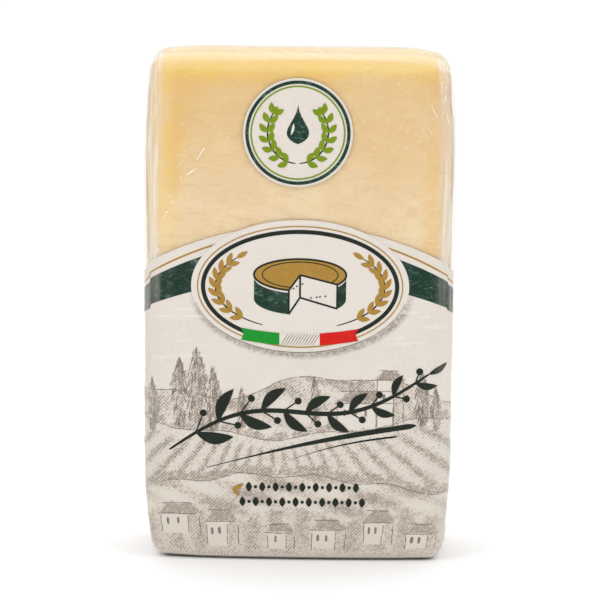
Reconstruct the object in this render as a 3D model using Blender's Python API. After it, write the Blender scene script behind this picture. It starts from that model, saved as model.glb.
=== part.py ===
"""A chunk of hard grating cheese, shrink packed in film, standing on its short end.

The pack can't be opened or taken apart without cutting it, so it is one solid: a
rounded block with the worn corner, the drawn-in foot, the sealed seams and the small
film webs at its foot. Metres, +Z up, the printed face looks along -Y, and the origin
is at the middle of the base.
"""
import math

import bmesh
import bpy
import numpy as np

# Driving dimensions of the block
HEIGHT = 0.110
WIDTH = 0.0662
DEPTH = 0.0310
EDGE_RADIUS = 0.0031

# How the long sides depart from straight: a swell at the shoulder, a draw to each end
SHOULDER_HEIGHT = 0.088
SHOULDER_SPREAD = 0.012
SHOULDER_SWELL = 0.0003
FOOT_REACH = 0.022
FOOT_DRAW = 0.0022
FOOT_POWER = 1.5
FOOT_BOW = 0.0016
CROWN_REACH = 0.020
CROWN_DRAW = 0.0012
DEPTH_SHARE = 0.45
FACE_CROWN = 0.0004

# The top falls away towards each side, far more on the right where the corner is worn
WORN_REACH = 0.014
WORN_RIGHT_WIDTH = 0.0110
WORN_RIGHT_DROP = 0.0024
WORN_LEFT_WIDTH = 0.0080
WORN_LEFT_DROP = 0.0009
WORN_FARTHEST = 1.1

# Heat seals of the film: a lap down the back and a fold across the top
LAP_HALF_WIDTH = 0.0050
LAP_PROUD = 0.0004
LAP_STEP = 0.0005
FOLD_HALF_WIDTH = 0.0032
FOLD_PROUD = 0.0005

# Webs of film that stand off the lower corners, in the middle of each narrow side
WEB_TOP = 0.0090
WEB_FULL = 0.0040
WEB_SOLE = 0.0009
WEB_ROOT = 1.6
WEB_HALF_THICKNESS = 0.0017
WEB_RIGHT_PROUD = 0.0013
WEB_LEFT_PROUD = 0.0005

# Spacing of the mesh between the rounded edges
STEP_ALONG_HEIGHT = 0.0046
STEP_ACROSS = 0.0046
STEP_AT_ENDS = 0.0030

FILM_COLOUR = (0.83, 0.72, 0.50, 1.0)
FILM_ROUGHNESS = 0.25


def clear_scene():
    """Remove every object that the scene starts with."""
    for item in list(bpy.data.objects):
        bpy.data.objects.remove(item, do_unlink=True)


def smooth_step(value):
    """Ease from 0 to 1 with level ends, for value from 0 to 1."""
    t = np.clip(value, 0.0, 1.0)
    return t * t * (3.0 - 2.0 * t)


def bell(value):
    """A round hump: 1 at value 0, nearly 0 beyond 2."""
    return np.exp(-value * value)


def edge_stations(half, radius):
    """Cuts near the end of a side that turn a rounded edge into four equal steps."""
    half_turn = radius * math.tan(math.pi / 8)
    return [half - radius, half - radius + half_turn]


def spread(low, high, step):
    """Evenly spaced cuts between two places, both ends left out."""
    count = max(1, round((high - low) / step))
    return [low + (high - low) * i / count for i in range(1, count)]


def stations_across(half, extra):
    """Cuts over a side that runs from -half to +half, with extra ones kept crisp."""
    near = edge_stations(half, EDGE_RADIUS)
    marks = sorted({0.0, *near, *extra})
    cuts = list(marks)
    for low, high in zip(marks, marks[1:]):
        if high <= near[0]:
            cuts += spread(low, high, STEP_ACROSS)
    return sorted({value * sign for value in cuts for sign in (-1.0, 1.0)})


def stations_up():
    """Cuts over the height, closer together where the webs and the worn corner are."""
    foot = [HEIGHT / 2 - value for value in reversed(edge_stations(HEIGHT / 2, EDGE_RADIUS))]
    crown = [HEIGHT - value for value in reversed(foot)]
    worn = HEIGHT - WORN_REACH
    web = spread(EDGE_RADIUS, WEB_TOP, STEP_AT_ENDS) + [WEB_TOP]
    middle = spread(WEB_TOP, worn, STEP_ALONG_HEIGHT)
    shoulder = [worn] + spread(worn, HEIGHT - EDGE_RADIUS, STEP_AT_ENDS)
    return foot + web + middle + shoulder + crown


def lattice_block():
    """A plain box, base at height 0, cut by planes into a lattice of faces."""
    mesh = bmesh.new()
    bmesh.ops.create_cube(mesh, size=1.0)
    bmesh.ops.scale(mesh, vec=(WIDTH, DEPTH, HEIGHT), verts=mesh.verts)
    bmesh.ops.translate(mesh, vec=(0.0, 0.0, HEIGHT / 2), verts=mesh.verts)
    lap = [LAP_HALF_WIDTH, LAP_HALF_WIDTH + LAP_STEP]
    fold = [WEB_HALF_THICKNESS, FOLD_HALF_WIDTH, FOLD_HALF_WIDTH + LAP_STEP]
    cuts = (stations_across(WIDTH / 2, lap), stations_across(DEPTH / 2, fold), stations_up())
    for axis, places in enumerate(cuts):
        for place in places:
            point = [0.0, 0.0, 0.0]
            point[axis] = place
            normal = [0.0, 0.0, 0.0]
            normal[axis] = 1.0
            everything = mesh.verts[:] + mesh.edges[:] + mesh.faces[:]
            bmesh.ops.bisect_plane(mesh, geom=everything, dist=1e-6, plane_co=point, plane_no=normal)
    return mesh


def round_edges(points):
    """Pull the box's surface onto the rounded box.

    Each point is split into the nearest place of the box that is smaller by the edge
    radius all round, and the way from there to the point, which is cut to the radius.
    """
    middle = np.array([0.0, 0.0, HEIGHT / 2])
    core = np.array([WIDTH, DEPTH, HEIGHT]) / 2 - EDGE_RADIUS
    inner = np.clip(points - middle, -core, core)
    way = points - middle - inner
    length = np.linalg.norm(way, axis=1, keepdims=True)
    normal = way / length
    return middle + inner + normal * EDGE_RADIUS, normal


def seam_relief(points, normal):
    """Height of the back lap and of the fold on the top, outwards from the block."""
    x, y = points[:, 0], points[:, 1]
    lap_edge = smooth_step((LAP_HALF_WIDTH + LAP_STEP - np.abs(x)) / LAP_STEP)
    lap = LAP_PROUD * lap_edge * smooth_step(normal[:, 1])
    fold_edge = smooth_step((FOLD_HALF_WIDTH + LAP_STEP - np.abs(y)) / LAP_STEP)
    fold = FOLD_PROUD * fold_edge * smooth_step(normal[:, 2])
    return lap + fold


def side_profile(z):
    """Growth of the half width over the height: shoulder swell less the two draws."""
    swell = SHOULDER_SWELL * bell((z - SHOULDER_HEIGHT) / SHOULDER_SPREAD)
    foot = FOOT_DRAW * np.clip(1.0 - z / FOOT_REACH, 0.0, 1.0) ** FOOT_POWER
    crown = CROWN_DRAW * np.clip(1.0 - (HEIGHT - z) / CROWN_REACH, 0.0, 1.0) ** 2
    return swell - foot - crown


def web_relief(points):
    """How far the webs stand out sideways: full low down, thin across the depth."""
    x, y, z = points.T
    proud = np.where(x > 0.0, WEB_RIGHT_PROUD, WEB_LEFT_PROUD)
    rise = smooth_step((WEB_TOP - z) / (WEB_TOP - WEB_FULL)) * smooth_step(z / WEB_SOLE)
    corner = np.clip(WIDTH / 2 - np.abs(x), 0.0, EDGE_RADIUS)
    across = bell(y / WEB_HALF_THICKNESS)
    outer = smooth_step((np.abs(x) - WIDTH / 2) / EDGE_RADIUS + WEB_ROOT)
    return np.sign(x) * (proud + corner) * rise * across * outer


def worn_drop(x):
    """Fall of the top towards each end, as the square of the way into the corner."""
    right = np.clip((x - WIDTH / 2) / WORN_RIGHT_WIDTH + 1.0, 0.0, WORN_FARTHEST) ** 2
    left = np.clip((-x - WIDTH / 2) / WORN_LEFT_WIDTH + 1.0, 0.0, WORN_FARTHEST) ** 2
    return WORN_RIGHT_DROP * right + WORN_LEFT_DROP * left


def shape_block(points):
    """The pack's form: rounded edges, seams, drawn sides, webs and the worn corner.

    The lap makes the pack deeper behind, so all of it moves forward by half of that,
    which keeps the origin in the middle of the depth.
    """
    rounded, normal = round_edges(points)
    form = rounded + normal * seam_relief(rounded, normal)[:, None]
    z = rounded[:, 2]
    growth = side_profile(z)
    bulge = FACE_CROWN * (1.0 - (rounded[:, 0] / (WIDTH / 2)) ** 2) * np.sin(math.pi * z / HEIGHT)
    form[:, 0] *= 1.0 + growth / (WIDTH / 2)
    bow = FOOT_BOW * (rounded[:, 0] / (WIDTH / 2)) ** 2 * np.clip(1.0 - z / FOOT_REACH, 0.0, 1.0)
    form[:, 1] *= 1.0 + (DEPTH_SHARE * growth + bulge - bow) / (DEPTH / 2)
    form[:, 0] += web_relief(rounded)
    share = smooth_step((z - HEIGHT + WORN_REACH) / (WORN_REACH - EDGE_RADIUS))
    form[:, 2] -= worn_drop(rounded[:, 0]) * share
    form[:, 1] -= LAP_PROUD / 2
    return form


def film_material():
    """Cheese seen through glossy clear film, as one plain colour."""
    material = bpy.data.materials.new("packed_cheese")
    material.use_nodes = True
    shader = material.node_tree.nodes["Principled BSDF"]
    shader.inputs["Base Color"].default_value = FILM_COLOUR
    shader.inputs["Roughness"].default_value = FILM_ROUGHNESS
    shader.inputs["Metallic"].default_value = 0.0
    return material


def build_pack():
    """The whole pack as one closed solid."""
    mesh = lattice_block()
    points = np.array([vertex.co[:] for vertex in mesh.verts])
    for vertex, place in zip(mesh.verts, shape_block(points)):
        vertex.co = place
    bmesh.ops.recalc_face_normals(mesh, faces=mesh.faces)
    data = bpy.data.meshes.new("cheese_pack")
    mesh.to_mesh(data)
    mesh.free()
    data.materials.append(film_material())
    pack = bpy.data.objects.new("cheese_pack", data)
    bpy.context.scene.collection.objects.link(pack)
    data.shade_smooth()
    return pack


clear_scene()
build_pack()
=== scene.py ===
"""Looks of a block of hard grating cheese, shrink packed in clear and printed film.

Every size in this file is in millimetres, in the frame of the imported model, and turns
into metres when a mesh is made. The film's skin is mapped by two lengths: the way
round, 0 at the middle of the front and positive to the right, and the rise, which is
the height on the walls and goes on over the rounded edges onto the top and the base.
"""
from __future__ import annotations

import logging
import math
from dataclasses import dataclass
from enum import Enum
from functools import cache

import bmesh
import bpy
import numpy as np
from mathutils import Matrix


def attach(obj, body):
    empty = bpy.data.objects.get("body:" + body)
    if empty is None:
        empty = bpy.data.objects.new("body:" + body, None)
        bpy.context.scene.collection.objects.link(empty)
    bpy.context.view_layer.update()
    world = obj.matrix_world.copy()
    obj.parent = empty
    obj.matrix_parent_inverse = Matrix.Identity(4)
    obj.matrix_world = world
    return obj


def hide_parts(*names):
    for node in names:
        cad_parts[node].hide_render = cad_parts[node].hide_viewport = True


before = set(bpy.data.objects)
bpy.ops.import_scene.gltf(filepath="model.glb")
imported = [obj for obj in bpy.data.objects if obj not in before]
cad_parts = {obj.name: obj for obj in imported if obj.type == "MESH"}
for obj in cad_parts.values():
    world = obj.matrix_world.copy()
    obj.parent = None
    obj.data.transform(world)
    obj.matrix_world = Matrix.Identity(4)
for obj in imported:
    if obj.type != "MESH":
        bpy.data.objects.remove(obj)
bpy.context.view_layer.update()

METRES = 0.001  # in a millimetre
WELD = 2e-6  # metres under which corners are merged
NODE = "cheese_pack"
BODY = "root"
LOG = logging.getLogger("cheese_pack")
Array = np.ndarray
Pair = tuple[float, float]
Triple = tuple[float, float, float]
Socket = bpy.types.NodeSocket
Material = bpy.types.Material


def ease(value: Array) -> Array:
    """Ease from 0 to 1 with level ends: 3 t squared less 2 t cubed, t held in 0 to 1."""
    t = np.clip(value, 0.0, 1.0)
    return t * t * (3.0 - 2.0 * t)


def hump(value: Array) -> Array:
    """A round hump, e to the power of minus the square: 1 at 0, nearly 0 beyond 2."""
    return np.exp(-value * value)


def heading(way: Array) -> tuple[Array, Array]:
    """The direction of a way on the map, and the direction to the right of it."""
    ahead = way / np.hypot(*way)
    return ahead, np.array([ahead[1], -ahead[0]])


def oval(middle: Pair, half: Pair, angle: Array) -> Array:
    """Map places on an ellipse: the middle plus the half sizes times cosine and sine."""
    return np.stack([middle[0] + half[0] * np.cos(angle), middle[1] + half[1] * np.sin(angle)], 1)


@dataclass(frozen=True)
class Creases:
    """Straight or slightly bowed creases in the film, on a flat map.

    Each crease has a start, an end, a half width, a height and a bow. Its height over
    the map is the height times a hump across it times the root of a sine along it.
    """

    starts: Array
    ends: Array
    widths: Array
    heights: Array
    bows: Array

    @staticmethod
    def joined(groups: list["Creases"]) -> "Creases":
        """All creases of several groups as one."""
        names = ("starts", "ends", "widths", "heights", "bows")
        return Creases(*(np.concatenate([getattr(g, n) for g in groups]) for n in names))

    def relief(self, u: Array, v: Array) -> tuple[Array, Array]:
        """Height of the film and how creased it is, at places of the map.

        Args:
            u: first map coordinate of each place.
            v: second map coordinate of each place.
        Returns:
            The height in millimetres, and a number from 0 to 1 for creasing.
        """
        height = np.zeros(u.shape)
        amount = np.zeros(u.shape)
        for start, end, width, tall, bow in zip(
            self.starts, self.ends, self.widths, self.heights, self.bows
        ):
            way = end - start
            length = float(np.hypot(*way))
            way = way / length
            margin = 3.0 * width + abs(bow)
            low = np.minimum(start, end) - margin
            high = np.maximum(start, end) + margin
            near = (u > low[0]) & (u < high[0]) & (v > low[1]) & (v < high[1])
            if not near.any():
                continue
            du, dv = u[near] - start[0], v[near] - start[1]
            along = np.clip((du * way[0] + dv * way[1]) / length, 0.0, 1.0)
            arch = np.sin(math.pi * along)
            across = dv * way[0] - du * way[1] - bow * arch
            shape = np.sqrt(arch) * hump(across / width)
            height[near] += tall * shape
            amount[near] = np.maximum(amount[near], shape * min(1.0, abs(tall) / 0.08))
        return height, amount


@dataclass(frozen=True)
class CreaseGroup:
    """A rule for scattering creases over a patch of the map.

    Args:
        count: how many creases.
        box: lowest and highest map coordinates of their middles.
        angle: mean direction, in degrees from level.
        spread: how far directions stray from the mean, in degrees.
        length: shortest and longest.
        width: smallest and largest half width.
        height: least and greatest height, negative for a dent.
    """

    count: int
    box: tuple[float, float, float, float]
    angle: float
    spread: float
    length: Pair
    width: Pair
    height: Pair

    def scatter(self, rng: np.random.Generator) -> Creases:
        """Draw the creases: even chances over every range.

        Args:
            rng: source of the chances.
        Returns:
            The creases.
        """
        left, low, right, high = self.box
        middle = np.stack([rng.uniform(left, right, self.count), rng.uniform(low, high, self.count)], axis=1)
        angle = np.radians(self.angle + self.spread * rng.uniform(-1.0, 1.0, self.count))
        half = rng.uniform(*self.length, self.count)[:, None] / 2.0
        way = half * np.stack([np.cos(angle), np.sin(angle)], axis=1)
        widths = rng.uniform(*self.width, self.count)
        heights = rng.uniform(*self.height, self.count)
        bows = rng.uniform(-0.08, 0.08, self.count) * half[:, 0]
        return Creases(middle - way, middle + way, widths, heights, bows)


@dataclass(frozen=True)
class Skin:
    """The pack's outer form, as the solid has it, and the map of its film.

    A worn side is given by the width of its fall and its drop. The heel is the lift of
    the left and the right lower corner, and its reach goes across and up. The inset is
    the film's distance inside the solid. The film eases to the reach over its margin.
    """

    height: float = 110.0
    width: float = 66.2
    depth: float = 31.0
    edge: float = 3.1
    shoulder_height: float = 82.0
    shoulder_spread: float = 17.5
    shoulder_swell: float = 0.50
    foot_reach: float = 22.0
    foot_draw: float = 1.9
    foot_power: float = 1.8
    foot_bow: float = 1.6
    crown_reach: float = 20.0
    crown_draw: float = 0.95
    depth_share: float = 0.45
    face_crown: float = 0.4
    worn_reach: float = 14.0
    worn_right: Pair = (11.0, 2.1)
    worn_left: Pair = (12.0, 0.95)
    worn_farthest: float = 1.1
    heel: Pair = (0.50, 0.15)
    heel_reach: Pair = (13.0, 7.0)
    lap_half: float = 5.0
    lap_proud: float = 0.4
    seam_step: float = 0.5
    fold_half: float = 3.2
    fold_proud: float = 0.5
    web_top: float = 9.0
    web_full: float = 4.0
    web_sole: float = 0.9
    web_root: float = 1.6
    web_half_thickness: float = 0.55
    web_proud: Pair = (0.5, 1.3)
    inset_deep: float = 0.39
    inset_across: float = 0.14
    inset_at_base: float = 0.10
    reach: float = 33.38
    reach_margin: float = 0.30
    seed: int = 41

    @property
    def flat_half(self) -> Array:
        """Half width and half depth of the flat walls, between the rounded edges."""
        return np.array([self.width, self.depth]) / 2.0 - self.edge

    @property
    def turn(self) -> float:
        """Length of a quarter turn round an edge."""
        return math.pi * self.edge / 2.0

    @property
    def half_girth(self) -> float:
        """Way from the middle of the front to the middle of the back."""
        across, deep = self.flat_half
        return 2.0 * (across + deep + self.turn)

    @property
    def side_middle(self) -> float:
        """Way from the middle of the front to the middle of a narrow side."""
        return self.half_girth / 2.0

    @property
    def lowest_rise(self) -> float:
        """Rise of the seam line in the middle of the base."""
        return self.edge - self.turn - self.flat_half[1]

    @property
    def highest_rise(self) -> float:
        """Rise of the seam line in the middle of the top."""
        return self.height - self.lowest_rise

    def plain(self, around: Array, rise: Array) -> tuple[Array, Array]:
        """Places and outward directions on the plain rounded box.

        The way round gives a place on the core rectangle and a level direction, which
        turns by the way over the radius at each edge. The rise tilts that direction
        over the radius too, and past a quarter turn it draws the core rectangle in
        towards a line.

        Args:
            around, rise: map coordinates of each place.
        Returns:
            The places and the directions.
        """
        across, deep = self.flat_half
        way, sign = np.abs(around), np.sign(around)
        first = np.clip((way - across) / self.edge, 0.0, math.pi / 2)
        second = np.clip((way - across - self.turn - 2 * deep) / self.edge, 0.0, math.pi / 2)
        facing = first + second
        side = np.clip(way - across - self.turn, 0.0, 2 * deep)
        back = np.clip(way - across - 2 * self.turn - 2 * deep, 0.0, across)
        core_z = np.clip(rise, self.edge, self.height - self.edge)
        over = rise - core_z
        tilt = np.clip(over / self.edge, -math.pi / 2, math.pi / 2)
        inward = np.maximum(np.abs(over) - self.turn, 0.0)
        core_x = sign * (np.clip(way, 0.0, across) - back) * (1.0 - inward / across)
        core_y = (side - deep) * (1.0 - inward / deep)
        level = np.cos(tilt)
        normal = np.stack([sign * np.sin(facing) * level, -np.cos(facing) * level, np.sin(tilt)], -1)
        normal[..., 0:2][np.abs(normal[..., 0:2]) < 1e-9] = 0.0
        return np.stack([core_x, core_y, core_z], -1) + self.edge * normal, normal

    def seams(self, point: Array, normal: Array) -> Array:
        """Height of the lap down the back and of the fold across the top.

        Args:
            point, normal: places on the rounded box and outward directions there.
        Returns:
            Heights along those directions.
        """
        lap = ease((self.lap_half + self.seam_step - np.abs(point[..., 0])) / self.seam_step)
        fold = ease((self.fold_half + self.seam_step - np.abs(point[..., 1])) / self.seam_step)
        return (self.lap_proud * lap * ease(normal[..., 1])
                + self.fold_proud * fold * ease(normal[..., 2]))

    def webs(self, point: Array) -> Array:
        """Sideways reach of the film webs at the foot, thin across the depth.

        Args:
            point: places on the rounded box.
        Returns:
            Moves along x: the web's height, the rounding it fills, and a hump over y.
        """
        x, y, z = point[..., 0], point[..., 1], point[..., 2]
        proud = np.where(x > 0.0, self.web_proud[1], self.web_proud[0])
        rise = ease((self.web_top - z) / (self.web_top - self.web_full)) * ease(z / self.web_sole)
        corner = np.clip(self.width / 2 - np.abs(x), 0.0, self.edge)
        outer = ease((np.abs(x) - self.width / 2) / self.edge + self.web_root)
        return np.sign(x) * (proud + corner) * rise * hump(y / self.web_half_thickness) * outer

    def set_in(self, normal: Array) -> Array:
        """How far the film lies inside the solid's surface, by the way the surface faces."""
        down, deep = np.clip(-normal[..., 2], 0.0, 1.0), self.inset_deep - self.inset_across
        wall = self.inset_across + deep * np.abs(normal[..., 1])
        return self.inset_at_base * down + wall * (1.0 - down)

    def growth(self, z: Array) -> Array:
        """Growth of the half width over the height: a swollen shoulder and two draws.

        Args:
            z: heights.
        Returns:
            A hump at the shoulder less a power of the way to the foot and to the crown.
        """
        foot = np.clip(1.0 - z / self.foot_reach, 0.0, 1.0)
        crown = np.clip(1.0 - (self.height - z) / self.crown_reach, 0.0, 1.0)
        return (self.shoulder_swell * hump((z - self.shoulder_height) / self.shoulder_spread)
                - self.foot_draw * foot ** self.foot_power - self.crown_draw * crown ** 2)

    def reshape(self, point: Array, normal: Array, lift: Array, seams: bool, webs: bool) -> Array:
        """The pack's form from the rounded box: swollen, drawn in, worn and webbed.

        Args:
            point, normal: places on the rounded box and outward directions there.
            lift: height over the rounded box along those directions.
            seams: whether the form has the lap and the fold of the film's seams.
            webs: whether it has the webs at the foot.
        Returns:
            The places on the pack.
        """
        relief = lift + (self.seams(point, normal) if seams else 0.0)
        form = point + normal * relief[..., None]
        x, z = point[..., 0], point[..., 2]
        foot = np.clip(1.0 - z / self.foot_reach, 0.0, 1.0)
        growth = self.growth(z)
        part = x / (self.width / 2)
        bulge = self.face_crown * (1.0 - part ** 2) * np.sin(math.pi * z / self.height)
        bow = self.foot_bow * part ** 2 * foot
        form[..., 0] *= 1.0 + growth / (self.width / 2)
        form[..., 1] *= 1.0 + (self.depth_share * growth + bulge - bow) / (self.depth / 2)
        if webs:
            form[..., 0] += self.webs(point)
        right, left = (
            drop * np.clip((sign * x - self.width / 2) / wide + 1.0, 0.0, self.worn_farthest) ** 2
            for sign, (wide, drop) in ((1.0, self.worn_right), (-1.0, self.worn_left)))
        share = ease((z - self.height + self.worn_reach) / (self.worn_reach - self.edge))
        form[..., 2] -= (right + left) * share
        tip = ease((np.abs(x) - self.width / 2 + self.heel_reach[0]) / self.heel_reach[0])
        form[..., 2] += np.where(x < 0.0, *self.heel) * tip * ease(1.0 - z / self.heel_reach[1])
        form[..., 1] -= self.lap_proud / 2
        return form

    @staticmethod
    def patch(sign: float, near: float, far: float, low: float, high: float) -> tuple[float, ...]:
        """A box of the map between two ways round, on the right where the sign is positive."""
        return min(sign * near, sign * far), low, max(sign * near, sign * far), high

    def creases(self) -> Creases:
        """The film's creases on the walls and the top, drawn by rule from one seed.

        Returns:
            The scattered creases, the gussets, the long folds and the ribs as one.
        """
        rng = np.random.default_rng(self.seed)
        across = self.flat_half[0]
        corner = across + self.turn
        back = 2.0 * self.side_middle
        walls = (8.0, self.height - 8.0)
        top = (self.height + 2.6, self.highest_rise - 1.0)
        crumpled = (90.0, 70.0, (4.0, 13.0), (0.4, 0.8), (0.04, 0.08))
        slanted = (16.0, (5.0, 16.0), (0.5, 0.9), (0.04, 0.11))
        groups = [CreaseGroup(26, (-28.0, top[0], 28.0, top[1]), *crumpled)]
        for sign in (-1.0, 1.0):
            edge = self.patch(sign, across - 0.6, corner, *walls)
            side = self.patch(sign, corner, back - corner, *walls)
            rear = self.patch(sign, back - corner, back - across, *walls)
            groups += [
                CreaseGroup(46, edge, 90.0, 7.0, (5.0, 18.0), (0.35, 0.6), (0.03, 0.09)),
                CreaseGroup(34, side, 90.0 + 24 * sign, *slanted),
                CreaseGroup(34, side, 90.0 - 24 * sign, *slanted),
                CreaseGroup(24, rear, 90.0, 9.0, (6.0, 18.0), (0.4, 0.7), (0.03, 0.09)),
                CreaseGroup(13, self.patch(sign, 68.0, 94.0, *top), *crumpled),
            ]
        # Patches of the front and the back that crease more, in CreaseGroup's order
        patches = (
            (9, (25.0, 92.0, 31.0, 101.0), 104.0, 8.0, (4.0, 9.0), (0.3, 0.5), (0.05, 0.11)),
            (5, (-31.0, 92.0, -28.0, 104.0), 80.0, 7.0, (4.0, 10.0), (0.35, 0.5), (0.04, 0.08)),
            (12, (30.4, 66.0, 32.4, 104.0), 92.0, 6.0, (5.0, 14.0), (0.22, 0.4), (0.04, 0.08)),
            (12, (-32.4, 68.0, -30.4, 104.0), 89.0, 5.0, (5.0, 14.0), (0.22, 0.4), (0.04, 0.08)),
            (5, (-25.0, 74.0, -21.0, 90.0), 64.0, 6.0, (3.0, 8.0), (0.3, 0.42), (0.03, 0.05)),
            (16, (-26.0, 6.0, 26.0, 60.0), 80.0, 60.0, (6.0, 16.0), (0.7, 1.1), (0.015, 0.03)),
            (18, (-29.0, 54.0, -22.0, 66.0), 60.0, 50.0, (3.0, 7.0), (0.5, 0.8), (0.02, 0.05)),
            (18, (22.0, 54.0, 30.0, 66.0), 120.0, 50.0, (3.0, 7.0), (0.5, 0.8), (0.02, 0.05)),
            (14, (17.0, 43.0, 28.0, 57.0), 6.0, 8.0, (3.0, 9.0), (0.3, 0.5), (0.03, 0.06)),
            (10, (-30.0, 43.0, -20.0, 57.0), -8.0, 10.0, (3.0, 8.0), (0.3, 0.5), (0.03, 0.06)),
            (26, (70.0, 8.0, 92.0, 102.0), 86.0, 40.0, (6.0, 18.0), (0.6, 1.0), (0.02, 0.06)),
            (26, (-92.0, 8.0, -70.0, 102.0), 94.0, 40.0, (6.0, 18.0), (0.6, 1.0), (0.02, 0.06)),
        )
        groups += [CreaseGroup(*row) for row in patches]
        scattered = Creases.joined([group.scatter(rng) for group in groups])
        return Creases.joined([scattered, self.gussets(), self.folds(), self.ribs()])

    @staticmethod
    def ribs() -> Creases:
        """A stack of short level ribs near the right edge, high on the front.

        Returns:
            The ribs, evenly spaced, their ends and heights varied by sines of the rise.
        """
        rise = np.arange(71.5, 92.0, 1.75)
        starts = np.stack([26.4 + 0.8 * np.sin(1.7 * rise), rise], 1)
        ends = np.stack([30.0 + 0.5 * np.sin(rise), rise + 0.5], 1)
        heights = 0.035 + 0.01 * np.sin(2.1 * rise)
        return Creases(starts, ends, np.full(rise.size, 0.42), heights, np.full(rise.size, -0.3))

    def folds(self) -> Creases:
        """Long folds: upright where the film turns to the sides, level and short at the foot.

        Returns:
            The folds. A row of the table is a start, an end, a height and a bow.
        """
        table = np.array((
            (-30.7, 3.0, -30.4, 72.0, 0.13, 0.30), (-31.6, 66.0, -30.9, 88.0, 0.08, -0.50),
            (-30.6, 84.0, -31.0, 106.0, 0.09, 0.40), (30.9, 4.0, 30.2, 66.0, 0.11, -0.30),
            (30.4, 60.0, 31.3, 84.0, 0.08, 0.50), (31.6, 78.0, 31.0, 104.0, 0.09, -0.40),
            (-28.4, 82.0, -29.6, 104.0, 0.07, 0.30), (28.6, 76.0, 29.6, 92.0, 0.08, -0.40),
            (26.6, 105.0, 30.4, 88.0, 0.10, -0.55), (27.6, 100.5, 30.2, 90.5, 0.12, -0.45),
            (30.2, 106.5, 31.4, 94.0, 0.12, -0.30), (19.0, 1.6, 31.0, 4.4, 0.10, -0.35),
            (25.5, 1.2, 31.6, 9.5, 0.12, -0.60), (-24.0, 1.4, -31.4, 6.0, 0.09, 0.40)))
        return Creases(table[:, 0:2], table[:, 2:4], np.full(len(table), 0.38), table[:, 4], table[:, 5])

    def gussets(self) -> Creases:
        """Folded corners on the narrow sides: a V at the foot and one at the crown.

        Returns:
            Two creases for each V, from the side's two edges to a point in its middle.
        """
        corner = self.flat_half[0] + self.turn
        levels = ((2.0, 15.0), (self.height - 3.0, self.height - 15.0))
        lines = np.array([((sign * begin, level), (sign * self.side_middle, peak))
                          for sign in (-1.0, 1.0) for level, peak in levels
                          for begin in (corner, corner + 2.0 * self.flat_half[1])])
        count = len(lines)
        return Creases(lines[:, 0], lines[:, 1], np.full(count, 0.8), np.full(count, 0.16), np.zeros(count))

    @staticmethod
    def swell(point: Array) -> Array:
        """Slow unevenness of the cheese and the film on it, a sum of sine waves.

        Args:
            point: places on the rounded box.
        Returns:
            Heights of a few hundredths of a millimetre.
        """
        # Each wave: its direction over x, y and z, its length and its offset
        waves = ((0.9, 0.2, 0.5, 17.0, 0.3), (-0.4, 0.7, 1.0, 13.0, 1.9), (0.2, -0.5, 1.0, 6.6, 4.1),
                 (1.0, 0.3, -0.7, 9.0, 2.7), (0.3, 1.0, 0.2, 11.0, 5.0), (0.1, 0.2, 1.0, 24.0, 0.8))
        total = np.zeros(point.shape[:-1])
        for *direction, length, offset in waves:
            phase = point @ np.array(direction) * (2 * math.pi / length)
            total += np.sin(phase + offset) * length / 17.0
        return 0.018 * total

    def place(self, around: Array, rise: Array, lift: float | Array, creases: Creases,
              webs: bool = False) -> Array:
        """Places on the film's skin, creased and uneven, at a lift over it.

        Args:
            around, rise: map coordinates of each place.
            lift: height over the film.
            creases: the film's creases.
            webs: whether the webs at the foot are part of the form.
        Returns:
            Places in millimetres.
        """
        around, rise = np.broadcast_arrays(np.asarray(around, float), np.asarray(rise, float))
        wrapped = (around + self.half_girth) % (2 * self.half_girth) - self.half_girth
        point, normal = self.plain(wrapped, rise)
        level = np.maximum(1.0 - normal[..., 2] ** 2, 0.5 * (normal[..., 2] > 0.0))
        crease = creases.relief(wrapped, rise)[0] * level
        down = np.clip(-normal[..., 2], 0.0, 1.0)
        uneven = self.swell(point) * (1.0 - down)
        form = self.reshape(point, normal, uneven + crease + lift - self.set_in(normal), True, webs)
        start = self.reach - self.reach_margin
        over = np.clip(np.abs(form[..., 0]) - start, 0.0, None) / self.reach_margin
        held = np.minimum(np.abs(form[..., 0]), start) + self.reach_margin * np.tanh(over)
        form[..., 0] = np.sign(form[..., 0]) * held
        return form


def make_object(name: str, points: Array, faces: Array,
                values: dict[str, Array] | None = None) -> bpy.types.Object:
    """A smooth-shaded object at the origin from places in millimetres.

    Args:
        name: name of the object and its mesh.
        points: places, one row each.
        faces: corner numbers, one row of four for each face, repeats marking a triangle.
        values: numbers to store for each place, by name.
    Returns:
        The new object, linked to the scene.
    """
    mesh = bpy.data.meshes.new(name)
    mesh.from_pydata((points * METRES).tolist(), [], faces.tolist())
    for key, numbers in (values or {}).items():
        store = mesh.attributes.new(key, "FLOAT", "POINT")
        store.data.foreach_set("value", numbers.ravel().astype(np.float32))
    work = bmesh.new()
    work.from_mesh(mesh)
    bmesh.ops.remove_doubles(work, verts=work.verts, dist=WELD)
    work.to_mesh(mesh)
    work.free()
    mesh.shade_smooth()
    mesh.set_sharp_from_angle(angle=math.radians(48))
    thing = bpy.data.objects.new(name, mesh)
    bpy.context.scene.collection.objects.link(thing)
    return thing


def grid_faces(rows: int, columns: int, loop: bool) -> Array:
    """Corner numbers of the faces of a grid, rows upwards and columns to the right.

    Args:
        rows, columns: numbers of rows and of columns of corners.
        loop: whether the last column joins the first.
    Returns:
        One row of four corner numbers for each face.
    """
    row = np.arange(rows - 1)[:, None]
    column = np.arange(columns if loop else columns - 1)[None, :]
    right = (column + 1) % columns
    quad = [row * columns + column, row * columns + right,
            (row + 1) * columns + right, (row + 1) * columns + column]
    return np.stack([np.broadcast_to(q, (rows - 1, column.size)) for q in quad], -1).reshape(-1, 4)


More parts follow.
